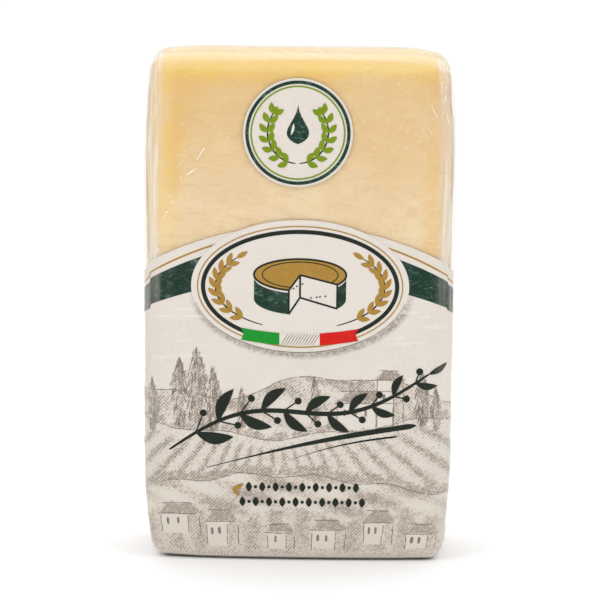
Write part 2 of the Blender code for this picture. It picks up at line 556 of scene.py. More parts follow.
def rim_faces(rows: int, columns: int, loop: bool) -> Array:
    """Faces that join the border of a grid to that of its copy underneath.

    Args:
        rows, columns: numbers of rows and of columns of corners.
        loop: whether the last column joins the first.
    Returns:
        One row of four corner numbers for each face.
    """
    number = np.arange(rows * columns).reshape(rows, columns)
    if loop:
        borders = [np.append(number[0], number[0, 0]), np.append(number[-1], number[-1, 0])[::-1]]
    else:
        border = [number[0], number[1:, -1], number[-1, -2::-1], number[-2::-1, 0]]
        borders = [np.concatenate(border)]
    count = rows * columns
    return np.concatenate(
        [np.stack([b[1:], b[:-1], b[:-1] + count, b[1:] + count], 1) for b in borders])


def interval(low: float, high: float, step: float) -> Array:
    """Evenly spaced values from low up to but not including high."""
    count = max(1, round((high - low) / step))
    return low + (high - low) * np.arange(count) / count


class Shading:
    """Builds one material's nodes, with sums written as Python expressions."""

    def __init__(self, name: str) -> None:
        """Start an empty node material.

        Args:
            name: name of the material.
        """
        self.material = bpy.data.materials.new(name)
        self.material.use_nodes = True
        self.tree = self.material.node_tree
        self.tree.nodes.clear()

    def node(self, kind: str, settings: dict | None = None, **values: object) -> bpy.types.Node:
        """Add a node, set it up and feed its sockets.

        Args:
            kind: node type, such as "ShaderNodeTexNoise".
            settings: properties that are set first.
            values: sockets by name, with _ for a space, or by i and number, to their values.
        Returns:
            The node.
        """
        node = self.tree.nodes.new(kind)
        for key, value in (settings or {}).items():
            setattr(node, key, value)
        for key, value in values.items():
            numbered = key[0] == "i" and key[1:].isdigit()
            self.feed(node.inputs[int(key[1:]) if numbered else key.replace("_", " ")], value)
        return node

    def feed(self, socket: Socket, value: object) -> None:
        """Link a term or an output to a socket, or set the socket's own value.

        Args:
            socket: the socket.
            value: a term, an output, a number, a vector, or a colour of three numbers.
        """
        source = value.socket if isinstance(value, Term) else value
        if isinstance(source, Socket):
            self.tree.links.new(source, socket)
        elif socket.type == "RGBA":
            socket.default_value = (*source, 1.0)
        else:
            socket.default_value = source

    def term(self, kind: str, settings: dict | None = None, output: int = 0, **values: object) -> "Term":
        """Add a node and wrap one of its outputs for sums."""
        return Term(self, self.node(kind, settings, **values).outputs[output])

    def place(self) -> Socket:
        """Object coordinates, in metres."""
        return self.node("ShaderNodeTexCoord").outputs["Object"]

    def part(self, axis: str) -> "Term":
        """One Object coordinate in millimetres."""
        split = self.node("ShaderNodeSeparateXYZ", Vector=self.place())
        return Term(self, split.outputs[axis]) * (1.0 / METRES)

    def attribute(self, name: str) -> "Term":
        """A number stored on the mesh's corners."""
        return self.term("ShaderNodeAttribute", {"attribute_name": name}, output=2)

    def noise(self, size: float, detail: float = 2.0, stretch: Triple = (1, 1, 1),
              distortion: float = 0.0, shift: float = 0.0) -> "Term":
        """Noise from 0 to 1, its lumps size millimetres times the stretch across.

        Args:
            size: width of a lump in millimetres.
            detail: how many finer layers are added.
            stretch: growth of the lumps along x, y and z.
            distortion: how much the noise is bent by itself.
            shift: offset that gives another pattern.
        Returns:
            The noise as a term.
        """
        shrink = tuple(1.0 / s for s in stretch)
        moved = self.node("ShaderNodeMapping", Vector=self.place(), Location=(shift, shift, shift))
        scaled = self.node("ShaderNodeMapping", Vector=moved.outputs[0], Scale=shrink)
        return self.term("ShaderNodeTexNoise", Vector=scaled.outputs[0], Scale=1.0 / (size * METRES),
                         Detail=detail, Distortion=distortion)

    def ridges(self, size: float, width: float, **options: object) -> "Term":
        """Thin winding lines, 1 where a noise crosses its middle value and 0 away from it."""
        return 1.0 - abs(self.noise(size, **options) - 0.5).steps(0.0, width)

    def blend(self, share: object, first: object, second: object) -> Socket:
        """A colour between two, by a share from 0 to 1."""
        mix = self.node("ShaderNodeMix", {"data_type": "RGBA"}, i0=share, i6=first, i7=second)
        return mix.outputs[2]

    def bump(self, height: "Term", distance: float, strength: float = 1.0) -> Socket:
        """A normal from a height of 0 to 1 that stands for distance millimetres."""
        return self.node("ShaderNodeBump", Height=height, Distance=distance * METRES,
                         Strength=strength).outputs[0]

    def layers(self, base: object, tones: tuple[tuple[object, object], ...]) -> Socket:
        """Lay colours over a base one after the other.

        Args:
            base: the colour underneath.
            tones: for each layer, its share from 0 to 1 and its colour.
        Returns:
            The colour on top.
        """
        for share, colour in tones:
            base = self.blend(share, base, colour)
        return base

    def finish(self, shader: Socket) -> Material:
        """Join the last shader to the material's output."""
        self.node("ShaderNodeOutputMaterial", Surface=shader)
        return self.material

    def opaque(self, colour: object, roughness: float, shine: float, **more: object) -> Material:
        """Finish the material as an opaque surface, with its specular level as the shine."""
        shader = self.node("ShaderNodeBsdfPrincipled", Base_Color=colour, Roughness=roughness,
                           Specular_IOR_Level=shine, **more)
        return self.finish(shader.outputs[0])


class Term:
    """A number socket that takes part in sums; each operator adds a Math node."""

    def __init__(self, shading: Shading, socket: Socket) -> None:
        """Wrap an output socket of the shading's node tree."""
        self.shading = shading
        self.socket = socket

    def math(self, operation: str, *others: object) -> "Term":
        """Apply a Math operation to this term and others."""
        values = {f"i{k}": v for k, v in enumerate((self, *others))}
        return self.shading.term("ShaderNodeMath", {"operation": operation}, **values)

    def __add__(self, other: object) -> "Term":
        """This plus other."""
        return self.math("ADD", other)

    __radd__ = __add__

    def __mul__(self, other: object) -> "Term":
        """This times other."""
        return self.math("MULTIPLY", other)

    __rmul__ = __mul__

    def __sub__(self, other: object) -> "Term":
        """This less other."""
        return self.math("SUBTRACT", other)

    def __rsub__(self, other: object) -> "Term":
        """Other less this."""
        return (self * -1.0) + other

    def __abs__(self) -> "Term":
        """This without its sign."""
        return self.math("ABSOLUTE")

    def power(self, exponent: float) -> "Term":
        """This to a power."""
        return self.math("POWER", exponent)

    def steps(self, low: float, high: float) -> "Term":
        """0 at low and 1 at high, eased between and held outside."""
        return self.shading.term("ShaderNodeMapRange", {"interpolation_type": "SMOOTHSTEP"},
                                 Value=self, From_Min=low, From_Max=high)


def film_relief(shading: Shading) -> Socket:
    """Fine creases that all of the film shares, as a normal.

    The height adds crumples, which are thin winding lines in patches, streaks along the
    height near the upright edges, and a faint fine grain.

    Args:
        shading: nodes that the normal is built in.
    Returns:
        The normal.
    """
    patches = shading.noise(11.0, 1.0, shift=0.3).steps(0.38, 0.62)
    crumple = shading.ridges(2.6, 0.12, detail=2.0, distortion=1.4) * patches
    streaks = shading.noise(1.2, 1.0, stretch=(1.0, 1.0, 22.0), distortion=0.2)
    edge = shading.attribute("edge")
    fine = shading.noise(0.7, 2.0)
    height = crumple * 0.5 + streaks * (edge * 0.9 + 0.08) + fine * 0.07
    return shading.bump(height, 0.20, 0.6)


def edge_milk(shading: Shading) -> Term:
    """Share of milky film over whatever lies under it, near the upright edges."""
    streak = shading.noise(1.1, 1.0, stretch=(1.0, 1.0, 26.0)).steps(0.38, 0.68)
    return shading.attribute("edge") * (0.24 + 0.30 * streak)


@dataclass(frozen=True)
class CheeseFinish:
    """Cut hard cheese: pale straw, deeper gold by the rim, knife lines, fine grain, painted highlights."""

    pale: Triple = (0.80, 0.61, 0.36)
    gold: Triple = (0.80, 0.495, 0.075)
    cream: Triple = (0.88, 0.73, 0.475)
    tan: Triple = (0.72, 0.46, 0.20)
    # Painted highlight tones: lit_gold for a lit band under the top rim, highlight_tone for a line on the rim
    # and one along the left edge
    lit_gold: Triple = (0.89, 0.60, 0.115)
    highlight_tone: Triple = (0.93, 0.70, 0.30)
    roughness: float = 0.5

    def material(self) -> Material:
        """The cheese's material: a base from pale to gold under layers of the other tones.

        Returns:
            The material.
        """
        shading = Shading("cheese_body")
        gold = shading.attribute("gold")
        across, height = shading.part("X"), shading.part("Z")
        patchy = shading.noise(7.0, 3.0, stretch=(1.6, 1.0, 0.8), distortion=0.4)
        clouds = shading.noise(5.0, 4.0, stretch=(1.7, 1.0, 0.7), shift=0.7, distortion=0.5)
        broad = shading.noise(12.0, 1.0, stretch=(1.3, 1.0, 0.9), shift=2.3)
        lumps = shading.noise(1.9, 2.0, stretch=(1.5, 1.0, 0.9), shift=0.2)
        scale = shading.ridges(2.6, 0.05, detail=2.0, stretch=(1.7, 1.7, 0.8), distortion=0.8, shift=0.35)
        knife = shading.ridges(5.6, 0.045, detail=2.0, stretch=(5.0, 5.0, 1.0), distortion=0.35)
        knife = knife * shading.noise(8.0, 1.0, shift=0.5).steps(0.42, 0.58)
        speck = shading.noise(1.1, 1.0, shift=1.7)
        share = (gold + (patchy - 0.5) * 0.36 * (gold + 0.3)).steps(-0.05, 1.0)
        belt = height.steps(76.0, 92.0) * (1.0 - height.steps(102.0, 107.0))
        deeper = across.steps(8.0, 24.0) * 0.14 + 0.20
        # Where the painted highlight runs along the left edge, high up
        left = (across * -1.0).steps(25.5, 30.0) * height.steps(62.0, 74.0)
        colour = shading.layers(shading.blend(share, self.pale, self.gold), (
            (clouds.steps(0.42, 0.70) * 0.46 * (1.0 - share * 0.7), self.cream),
            (belt * (clouds.steps(0.35, 0.6) * 0.30 + deeper), self.tan),
            (broad.steps(0.45, 0.68) * 0.20, self.tan),
            (lumps.steps(0.48, 0.74) * 0.30, self.tan),
            (scale * patchy.steps(0.4, 0.6) * 0.26, self.tan),
            (knife * 0.24, self.tan),
            (speck.steps(0.66, 0.74) * 0.35, self.cream),
            # The last three layers are painted highlights: a lit band and a bright line along the top rim,
            # and a line along the left edge
            (height.steps(103.5, 107.5) * 0.5, self.lit_gold),
            (height.steps(105.2, 107.2) * 0.5, self.highlight_tone),
            (left * 0.42, self.highlight_tone),
        ))
        relief = shading.noise(0.7, 3.0) * 0.25 + lumps * 0.55 - knife * 0.30 - scale * 0.15
        return shading.opaque(colour, self.roughness, 0.35, Normal=shading.bump(relief, 0.32, 0.7))


@dataclass(frozen=True)
class FilmFinish:
    """Clear shrink film: see-through, mirrors at a slant, milky where it is creased."""

    milk: Triple = (0.94, 0.90, 0.825)
    roughness: float = 0.10

    def material(self) -> Material:
        """The film's material: milky and glossy shaders mixed with a see-through one.

        The cover is haze plus mirror, and the mirror's share of it is glossy.

        Returns:
            The material.
        """
        shading = Shading("clear_film")
        normal = film_relief(shading)
        slant = shading.term("ShaderNodeLayerWeight", output=1, Blend=0.35, Normal=normal)
        haze = edge_milk(shading) + shading.attribute("milk") + 0.012
        mirror = slant.power(1.7) * 0.30 + 0.035
        cover = (haze + mirror).math("MINIMUM", 0.92)
        share = mirror.math("DIVIDE", haze + mirror)
        milky = shading.node("ShaderNodeBsdfDiffuse", Color=self.milk)
        glossy = shading.node("ShaderNodeBsdfGlossy", Color=(1.0, 1.0, 1.0), Roughness=self.roughness,
                              Normal=normal)
        film = shading.node("ShaderNodeMixShader", i0=share, i1=milky.outputs[0], i2=glossy.outputs[0])
        clear = shading.node("ShaderNodeBsdfTransparent")
        whole = shading.node("ShaderNodeMixShader", i0=cover, i1=clear.outputs[0], i2=film.outputs[0])
        return shading.finish(whole.outputs[0])


@dataclass(frozen=True)
class PrintFinish:
    """Print on the film: one ink, a little uneven, under the same fine creases.

    The ink goes from its colour to the worn one where it is thin, by the unevenness, and
    to the same colour on crumple facets as a painted sheen. The shine is a specular level.
    """

    slot: str
    colour: Triple
    worn: Triple
    unevenness: float = 0.3
    shine: float = 0.16
    roughness: float = 0.22
    film: Triple = (0.80, 0.76, 0.70)

    def colouring(self, shading: Shading) -> Socket:
        """The ink's colour: clouded, lightened on crumples as a painted sheen, milky at the edges.

        Args:
            shading: nodes that the colour is built in.
        Returns:
            The colour.
        """
        cloud = shading.noise(4.0, 4.0, shift=0.4).steps(0.3, 0.8)
        # Crumple facets lightened towards the worn colour: a painted sheen
        sheen_facets = shading.noise(1.7, 3.0, stretch=(1.5, 1.0, 0.9), distortion=2.2, shift=0.1).steps(0.52, 0.72)
        share = (cloud * 0.25 + sheen_facets * (0.35 + cloud)) * self.unevenness
        ink = shading.blend(share, self.colour, self.worn)
        return shading.blend(edge_milk(shading) * 0.42, ink, self.film)

    def material(self) -> Material:
        """The print's material."""
        shading = Shading(self.slot)
        colour = self.colouring(shading)
        return shading.opaque(colour, self.roughness, self.shine, Normal=film_relief(shading))


@dataclass(frozen=True)
class GroundFinish(PrintFinish):
    """The label's white ground with a pencil drawing's soft tones.

    The tones are stored on the mesh. Fine hatching in two directions, a fleck and the tone are
    added, and the pencil shows where the sum passes a threshold. A printed shadow under the
    badge, painted gleams on crumples and a painted contact shadow at the pack's foot lie over
    it, and the ground darkens towards the bottom, partly its own tone and partly painted shade.
    """

    pencil: Triple = (0.20, 0.162, 0.13)
    wash: Triple = (0.585, 0.50, 0.42)
    # Ground darker towards the bottom: partly its own tone, partly painted shade
    low: Triple = (0.71, 0.645, 0.57)
    # Painted contact shadow along the pack's foot
    foot: Triple = (0.07, 0.058, 0.047)
    film: Triple = (0.60, 0.545, 0.48)
    # Painted highlight colour for gleams on the film's crumples
    gleam: Triple = (0.86, 0.82, 0.76)

    def colouring(self, shading: Shading) -> Socket:
        """Ground, a warm wash under the tones, the hatching over it, and the film's gleams.

        The gleams are painted highlights; the ground also gets painted shade towards the
        bottom and a painted contact shadow at the pack's foot.

        Args:
            shading: nodes that the colour is built in.
        Returns:
            The colour.
        """
        height, depth = shading.part("Z"), shading.part("Y")
        # Past the front's edges the way across goes on over the depth
        across = shading.part("X") + (depth + 15.6) * shading.part("X").math("SIGN")
        cloud = shading.noise(6.0, 4.0, shift=0.4).steps(0.3, 0.8)
        tone = shading.attribute("tone")
        blot = shading.noise(2.0, 4.0, distortion=0.4, shift=0.8)
        soft = (tone + (blot - 0.5) * 0.8 * (tone + 0.05)).steps(-0.05, 1.0)
        wander = shading.noise(3.0, 2.0, shift=0.6)
        hatch = ((height - across) * 8.4 + wander * 4.5).math("SINE")
        cross = ((height + across * 0.8) * 9.2 + wander * 4.5).math("SINE")
        turns = shading.noise(6.0, 1.0, shift=1.9).steps(0.50, 0.60)
        lines = hatch * (1.0 - turns * 0.75) + cross * (turns * 0.8)
        fleck = shading.noise(0.55, 3.0, shift=1.1)
        cover = soft * 0.95 - 0.55 + lines * 0.29 + (fleck - 0.5) * 1.9
        marks = cover.steps(-0.20, 0.40) * soft.steps(0.02, 0.16)
        shadow = shading.attribute("shadow") * (fleck.steps(0.36, 0.62) * 0.45 + 0.30)
        # Where crumples gleam: a mask for painted highlights
        crumple = shading.noise(1.0, 1.0, stretch=(8.0, 1.0, 1.0), shift=3.1).steps(0.58, 0.72)
        beside = height.steps(40.0, 47.0) * (1.0 - height.steps(57.0, 62.0)) * abs(across).steps(13.0, 21.0)
        return shading.layers(shading.blend(cloud * self.unevenness, self.colour, self.worn), (
            # Darker towards the bottom: partly the ground's own tone, partly painted shade
            (1.0 - height.steps(0.0, 38.0), self.low),
            (soft.steps(0.0, 0.8) * 0.50, self.wash),
            (marks * (height.steps(8.0, 26.0) * 0.12 + 0.60), self.pencil),
            (shadow, self.pencil),
            # Painted gleams of light on crumples beside the band
            (crumple * beside * 0.36, self.gleam),
            # Painted contact shadow in the last millimetre above the floor
            ((1.0 - height.steps(0.1, 1.0)) * 0.95, self.foot),
            (edge_milk(shading) * 0.45, self.film),
        ))


class Ink(Enum):
    """The inks of the print."""

    GROUND = GroundFinish("label_ground", (0.74, 0.68, 0.615), (0.68, 0.62, 0.55), 0.5)
    # Pale ink for the painted glints on the film
    GLINT = PrintFinish("clear_film", (0.93, 0.88, 0.78), (0.86, 0.76, 0.60), 0.6)
    WHITE = PrintFinish("label_ground", (0.74, 0.685, 0.62), (0.70, 0.645, 0.575))
    DARK_GREEN = PrintFinish("dark_green_print", (0.004, 0.028, 0.017), (0.12, 0.19, 0.145), 0.8)
    INK = PrintFinish("dark_green_print", (0.010, 0.016, 0.010), (0.04, 0.05, 0.036))
    GOLD = PrintFinish("gold_print", (0.38, 0.215, 0.036), (0.54, 0.36, 0.13))
    LEAF_GREEN = PrintFinish("leaf_green_print", (0.18, 0.27, 0.006), (0.30, 0.40, 0.04))
    FLAG_GREEN = PrintFinish("flag_green_print", (0.006, 0.27, 0.022), (0.03, 0.38, 0.06))
    FLAG_RED = PrintFinish("flag_red_print", (0.62, 0.008, 0.005), (0.72, 0.06, 0.04))
    PENCIL = PrintFinish("pencil_print", (0.22, 0.185, 0.15), (0.46, 0.405, 0.35), 0.9)

    @cache
    def material(self) -> Material:
        """The ink's material, made once."""
        return self.value.material()


@dataclass
class Printer:
    """Lays inked shapes on the film's skin and makes pieces of them."""

    skin: Skin
    creases: Creases
    thickness: float = 0.05

    def nearness(self, points: Array) -> Array:
        """How much doubled film lies on places: beyond a fold near each upright edge.

        It rises a little before the edge and sharply at the fold, with one thin line
        that strays between them, and fades on the narrow sides.

        Args:
            points: places in millimetres.
        Returns:
            The amounts, 0 away from the edges and about 2 at them.
        """
        half = self.skin.width / 2
        x, y, z = np.moveaxis(points, -1, 0)
        past = np.abs(x) / (1.0 + self.skin.growth(z) / half) - half
        stray = 0.30 * np.sin(z / 6.1 + 1.0 + 2.0 * np.sign(x)) + 0.12 * np.sin(z / 2.3)
        line = (0.32 + 0.22 * np.sin(z / 4.3 + 0.5)) * hump((past + 2.8 + stray) / 0.26)
        before = 0.66 * ease((past + 4.4) / 1.8) + 0.40 * ease((past + 1.5 + stray) / 0.5)
        fold = 1.10 * ease((past + 1.2) / 0.7)
        return (before + fold + line) * (0.25 + 0.75 * ease((np.abs(y) - self.skin.flat_half[1] + 3.0) / 3.0))

    def publish(self, name: str, points: Array, faces: Array, ink: Ink,
                values: dict[str, Array] | None = None) -> None:
        """Make a piece of the print, finish it and let it ride on the pack.

        Args:
            name: name of the piece.
            points: its places.
            faces: its corner numbers.
            ink: what it is printed with.
            values: numbers to store for each place, by name.
        """
        stored = {"edge": self.nearness(points), **(values or {})}
        piece = make_object(name, points, faces, stored)
        piece.data.materials.append(ink.material())
        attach(piece, BODY)
        LOG.info("%s: %d faces", name, len(piece.data.polygons))


class Artwork:
    """Shapes of one ink at one lift, gathered on the map and made into one piece."""

    def __init__(self, printer: Printer, name: str, ink: Ink, lift: float) -> None:
        """Start with no shapes.

        Args:
            printer: lays the shapes on the skin.
            name: name of the piece.
            ink: ink of every shape.
            lift: height of the ink over the film.
        """
        self.printer = printer
        self.name = name
        self.ink = ink
        self.lift = lift
        self.points: list[Array] = []
        self.faces: list[Array] = []
        self.count = 0

    def add(self, points: Array, faces: Array) -> None:
        """Keep places and faces, with the faces' numbers moved on."""
        self.points.append(points.reshape(-1, 3))
        self.faces.append(faces + self.count)
        self.count += self.points[-1].shape[0]

    def sheet(self, around: Array, rise: Array, loop: bool = False) -> None:
        """A thin closed sheet over a grid of map places.

        The grid is laid on the skin twice, at the ink's lift and its thickness lower,
        and the two are joined at the border. A grid that runs the other way round is
        turned first, so that faces look outwards.

        Args:
            around: way round of each place, rows by columns.
            rise: rise of each place.
            loop: whether the last column joins the first.
        """
        du = np.diff(around, axis=1)[:-1]
        dv = np.diff(rise, axis=0)[:, :-1]
        cross = du * dv - np.diff(around, axis=0)[:, :-1] * np.diff(rise, axis=1)[:-1]
        if cross.sum() < 0.0:
            around, rise = around[:, ::-1], rise[:, ::-1]
        skin, creases = self.printer.skin, self.printer.creases
        top, bottom = (skin.place(around, rise, lift, creases).reshape(-1, 3)
                       for lift in (self.lift, self.lift - self.printer.thickness))
        rows, columns = around.shape
        faces = grid_faces(rows, columns, loop)
        self.add(np.concatenate([top, bottom]),
                 np.concatenate([faces, faces[:, ::-1] + rows * columns, rim_faces(rows, columns, loop)]))

    def ring(self, middle: Pair, half: Pair, inset: float, wide: float,
             spokes: int) -> None:
        """An oval line.

        Args:
            middle: middle of the oval.
            half: half sizes of the oval.
            inset: distance of the line's outer side inside the oval.
            wide: width of the line.
            spokes: number of places round it.
        """
        angle = np.linspace(0.0, 2 * math.pi, spokes + 1)[:-1]
        off = np.array([[inset], [inset + wide]])
        self.sheet(middle[0] + (half[0] - off) * np.cos(angle), middle[1] + (half[1] - off) * np.sin(angle),
                   loop=True)

    def disc(self, middle: Pair, half: Pair, step: float = 0.7) -> None:
        """A filled ellipse, its grid over the angle and over the share of the size.

        Args:
            middle: middle of the ellipse.
            half: its half sizes.
            step: width of a face.
        """
        spokes = max(24, round(2 * math.pi * max(half) / step))
        rings = max(1, round(max(half) / step))
        angle = np.arange(spokes) * 2 * math.pi / spokes
        share = np.linspace(1.0, 0.0, rings + 1)[:, None]
        self.sheet(middle[0] + half[0] * share * np.cos(angle), middle[1] + half[1] * share * np.sin(angle),
                   loop=True)

    def leaf(self, base: Array, tip: Array, width: float, bend: float = 0.0, pairs: int = 3) -> None:
        """A pointed leaf: half width is the sine of the way along to the power 0.8.

        Args:
            base: map place of its foot.
            tip: map place of its point.
            width: full width in the middle.
            bend: how far the middle bows to the right.
            pairs: number of places across it.
        """
        along = np.linspace(0.0, 1.0, 9)[:, None]
        across = np.linspace(-1.0, 1.0, pairs)[None, :]
        way = np.asarray(tip, float) - np.asarray(base, float)
        side = heading(way)[1]
        half = width / 2 * np.sin(math.pi * np.clip(along, 0.004, 0.996)) ** 0.8
        off = half * across + bend * np.sin(math.pi * along)
        self.sheet(base[0] + way[0] * along + side[0] * off, base[1] + way[1] * along + side[1] * off)

    def strokes(self, paths: Array, widths: Array) -> None:
        """Strokes with a low ridge, many at once.

        Args:
            paths: map places, strokes by places by 2.
            widths: full width at each place, strokes by places.
        """
        count, steps = paths.shape[:2]
        way = np.gradient(paths, axis=1)
        length = np.maximum(np.hypot(way[..., 0], way[..., 1]), 1e-9)
        side = np.stack([way[..., 1], -way[..., 0]], -1) / length[..., None]
        half = np.asarray(widths)[..., None] * side / 2.0
        flat = np.stack([paths + half, paths, paths - half], axis=2)
        low = self.lift - self.printer.thickness
        lift = np.array([low, self.lift, low])[None, None, :]
        places = self.printer.skin.place(flat[..., 0], flat[..., 1], lift, self.printer.creases)
        number = np.arange(count * steps * 3).reshape(count, steps, 3)
        here, there = number[:, :-1], number[:, 1:]
        walls = [np.stack([here[..., k], here[..., (k + 1) % 3], there[..., (k + 1) % 3], there[..., k]], -1)
                 for k in range(3)]
        first, last = number[:, 0], number[:, -1]
        caps = [np.stack([first[:, 2], first[:, 1], first[:, 0], first[:, 0]], -1),
                np.stack([last[:, 0], last[:, 1], last[:, 2], last[:, 2]], -1)]
        self.add(places, np.concatenate([w[..., ::-1].reshape(-1, 4) for w in walls]
                                        + [c[:, ::-1] for c in caps]))

    def line(self, path: Array, width: float, taper: float = 0.0) -> None:
        """One stroke along a path.

        Args:
            path: map places, one row each.
            width: full width in the middle.
            taper: share of the width that is lost at the ends.
        """
        share = np.linspace(0.0, 1.0, len(path))
        widths = width * (1.0 - taper * (1.0 - np.sin(math.pi * share) ** 0.6))
        self.strokes(path[None], widths[None])

    def straight(self, start: Pair, end: Pair, count: int, width: float,
                 taper: float = 0.0) -> None:
        """A straight stroke between two map places, with a number of places along it."""
        self.line(np.linspace(start, end, count), width, taper)

    def build(self, values: dict[str, Array] | None = None) -> None:
        """Make the piece, with numbers stored for its places where some are given."""
        points, faces = np.concatenate(self.points), np.concatenate(self.faces)
        self.printer.publish(self.name, points, faces, self.ink, values)


@dataclass(frozen=True)
class CheeseBlock:
    """The block of cheese inside the film."""

    skin: Skin
    gap: float = 0.45
    step: float = 1.1
    knife_pitch: float = 6.2
    knife_depth: float = 0.05
    rim_wear: float = 0.12
    off_base: float = 0.2

    def build(self) -> None:
        """Make the block: the pack's form, set in, with knife waves across it.

        The knife waves are a sine of the height, bent by a slower sine of x. The top's
        rim is worn by a hump of the direction times a wave of the way round.
        """
        skin = self.skin
        columns = interval(-skin.half_girth, skin.half_girth, self.step)
        rows = [*interval(skin.lowest_rise, skin.highest_rise, self.step), skin.highest_rise]
        around, rise = np.meshgrid(columns, rows)
        point, normal = skin.plain(around, rise)
        up = normal[..., 2]
        bent = point[..., 2] + 1.1 * np.sin(point[..., 0] / 9.0 + 0.6)
        knife = self.knife_depth * np.sin(2 * math.pi * bent / self.knife_pitch) * (1.0 - up ** 2)
        wave = 0.5 + 0.5 * np.sin(around / 4.9 + 1.4 * np.sin(around / 9.0))
        worn = self.rim_wear * hump((up - 0.6) / 0.3) * wave
        uneven = skin.swell(point) * (1.0 - np.clip(-up, 0.0, 1.0))
        lift = uneven - skin.set_in(normal) - self.gap + knife - worn
        form = skin.reshape(point, normal, lift, False, False)
        form[..., 2] = np.maximum(form[..., 2], skin.inset_at_base + self.off_base)
        block = make_object("cheese_block", form.reshape(-1, 3), grid_faces(len(rows), len(columns), True),
                            {"gold": self.gold(point, normal)})
        block.data.materials.append(CheeseFinish().material())
        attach(block, BODY)
        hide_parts(NODE)
        LOG.info("cheese_block: %d faces", len(block.data.polygons))

    def gold(self, point: Array, normal: Array) -> Array:
        """How golden the cheese is: most below the top's rim and at the upright edges.

        Args:
            point, normal: places on the rounded box and outward directions there.
        Returns:
            Amounts from 0 to about 1.
        """
        x, y, z = np.moveaxis(point, -1, 0)
        left = x < 0.0
        corner = 0.80 + 0.56 * ease((-x - 16.0) / 10.0) + 0.18 * hump(x / 7.0) - 0.22 * ease((x - 6.0) / 8.0)
        high = corner * (0.40 * ease((z - 78.0) / 22.0) + 0.42 * ease((z - 99.5) / 6.0))
        rim = np.where(left, hump((x + 27.5) / 2.9), hump((x - 28.2) / 2.4))
        strength = np.where(left, 0.76 * ease((z - 62.0) / 28.0), 0.46 * ease((z - 30.0) / 50.0))
        rim = rim * strength * ease((np.abs(y) - self.skin.flat_half[1] + 2.0) / 3.0)
        # Paler where the surface turns sideways and where it faces up: painted sheen of the film's edges and
        # painted light from above
        edge_sheen_share = 0.75 * hump((np.abs(normal[..., 0]) - 0.68) / 0.26)
        top_light_share = 0.65 * ease((normal[..., 2] - 0.72) / 0.26)
        return (high + rim * (1.0 - high)) * (1.0 - edge_sheen_share) * (1.0 - top_light_share)


@dataclass(frozen=True)
class FilmSkin:
    """The clear film, one closed skin round the cheese.

    It is milky where it is creased and on the webs. It is also milky on the top, as a
    painted sheen, and on a ridge along the top's rim, as a painted highlight.
    """

    skin: Skin
    creases: Creases
    step: float = 0.52
    side_step: float = 0.85
    back_step: float = 1.0
    fine_step: float = 0.34
    under_print: float = 0.10
    crease_milk: float = 0.16
    # Painted sheen: milk on the film over the top
    top_sheen_milk: float = 0.15
    # Painted highlight: milk on a ridge along the top's rim
    ridge_highlight_milk: float = 0.16
    web_milk: float = 0.48

    def columns(self) -> Array:
        """Ways round of the grid's columns, finer at the edges, side middles and lap.

        Returns:
            The ways, from the middle of the back to the same place again.
        """
        skin = self.skin
        across, deep = skin.flat_half
        middle, girth = skin.side_middle, skin.half_girth
        lap = girth - skin.lap_half
        marks = [0.0, across, across + skin.turn, middle - 2.0, middle + 2.0, middle + deep,
                 middle + deep + skin.turn, lap - skin.seam_step - 0.1, lap + 0.1, girth]
        steps = [self.step, self.fine_step, self.side_step, 0.3, self.side_step, self.fine_step,
                 self.back_step, 0.2, self.back_step]
        right = np.concatenate([interval(a, b, s) for a, b, s in zip(marks, marks[1:], steps)])
        return np.concatenate([-right[:0:-1], right, [girth]])

    def rows(self, low: float, high: float) -> Array:
        """Rises of the grid's rows between two rises, finer over the rounded edges.

        Args:
            low: first rise.
            high: last rise.
        Returns:
            The rises, both ends in.
        """
        skin = self.skin
        marks = [skin.lowest_rise, skin.edge - skin.turn, skin.edge + 6.0, skin.height - skin.edge,
                 skin.height - skin.edge + skin.turn, skin.highest_rise]
        steps = [1.0, 0.42, self.step, 0.42, 1.0]
        parts = [interval(max(a, low), min(b, high), s) for a, b, s in zip(marks, marks[1:], steps)
                 if max(a, low) < min(b, high)]
        return np.concatenate([*parts, [high]])

    def build(self, printer: Printer, label_edge: "ArchedEdge") -> None:
        """Make the film, a little lower under the print, and store how milky it is.

        Args:
            printer: tells how much doubled film there is.
            label_edge: upper edge of the print.
        """
        skin = self.skin
        around, rise = np.meshgrid(self.columns(), self.rows(skin.lowest_rise, skin.highest_rise))
        under = ease((label_edge.rise(around) - 0.6 - rise) / 1.2)
        points = skin.place(around, rise, -self.under_print * under, self.creases, webs=True)
        plain, normal = skin.plain(around, rise)
        up = normal[..., 2]
        # A painted highlight along the top's rim, where the film would reflect the light above
        ridge = hump((up - 0.62 - 0.14 * np.sin(0.11 * around + 1.0)) / 0.16)
        web = ease(np.abs(skin.webs(plain)) / 0.8)
        # Milk in creases and on the webs is the film's own haze; on the top and the ridge it is painted sheen
        # and a painted highlight
        milk = (self.crease_milk * self.creases.relief(around, rise)[1] + self.ridge_highlight_milk * ridge
                + self.top_sheen_milk * ease((up - 0.4) / 0.5) + self.web_milk * web)
        film = make_object("clear_film", points.reshape(-1, 3), grid_faces(*around.shape, True),
                           {"edge": printer.nearness(points), "milk": milk})
        film.data.materials.append(FilmFinish().material())
        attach(film, BODY)
        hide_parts(NODE)
        LOG.info("clear_film: %d faces", len(film.data.polygons))


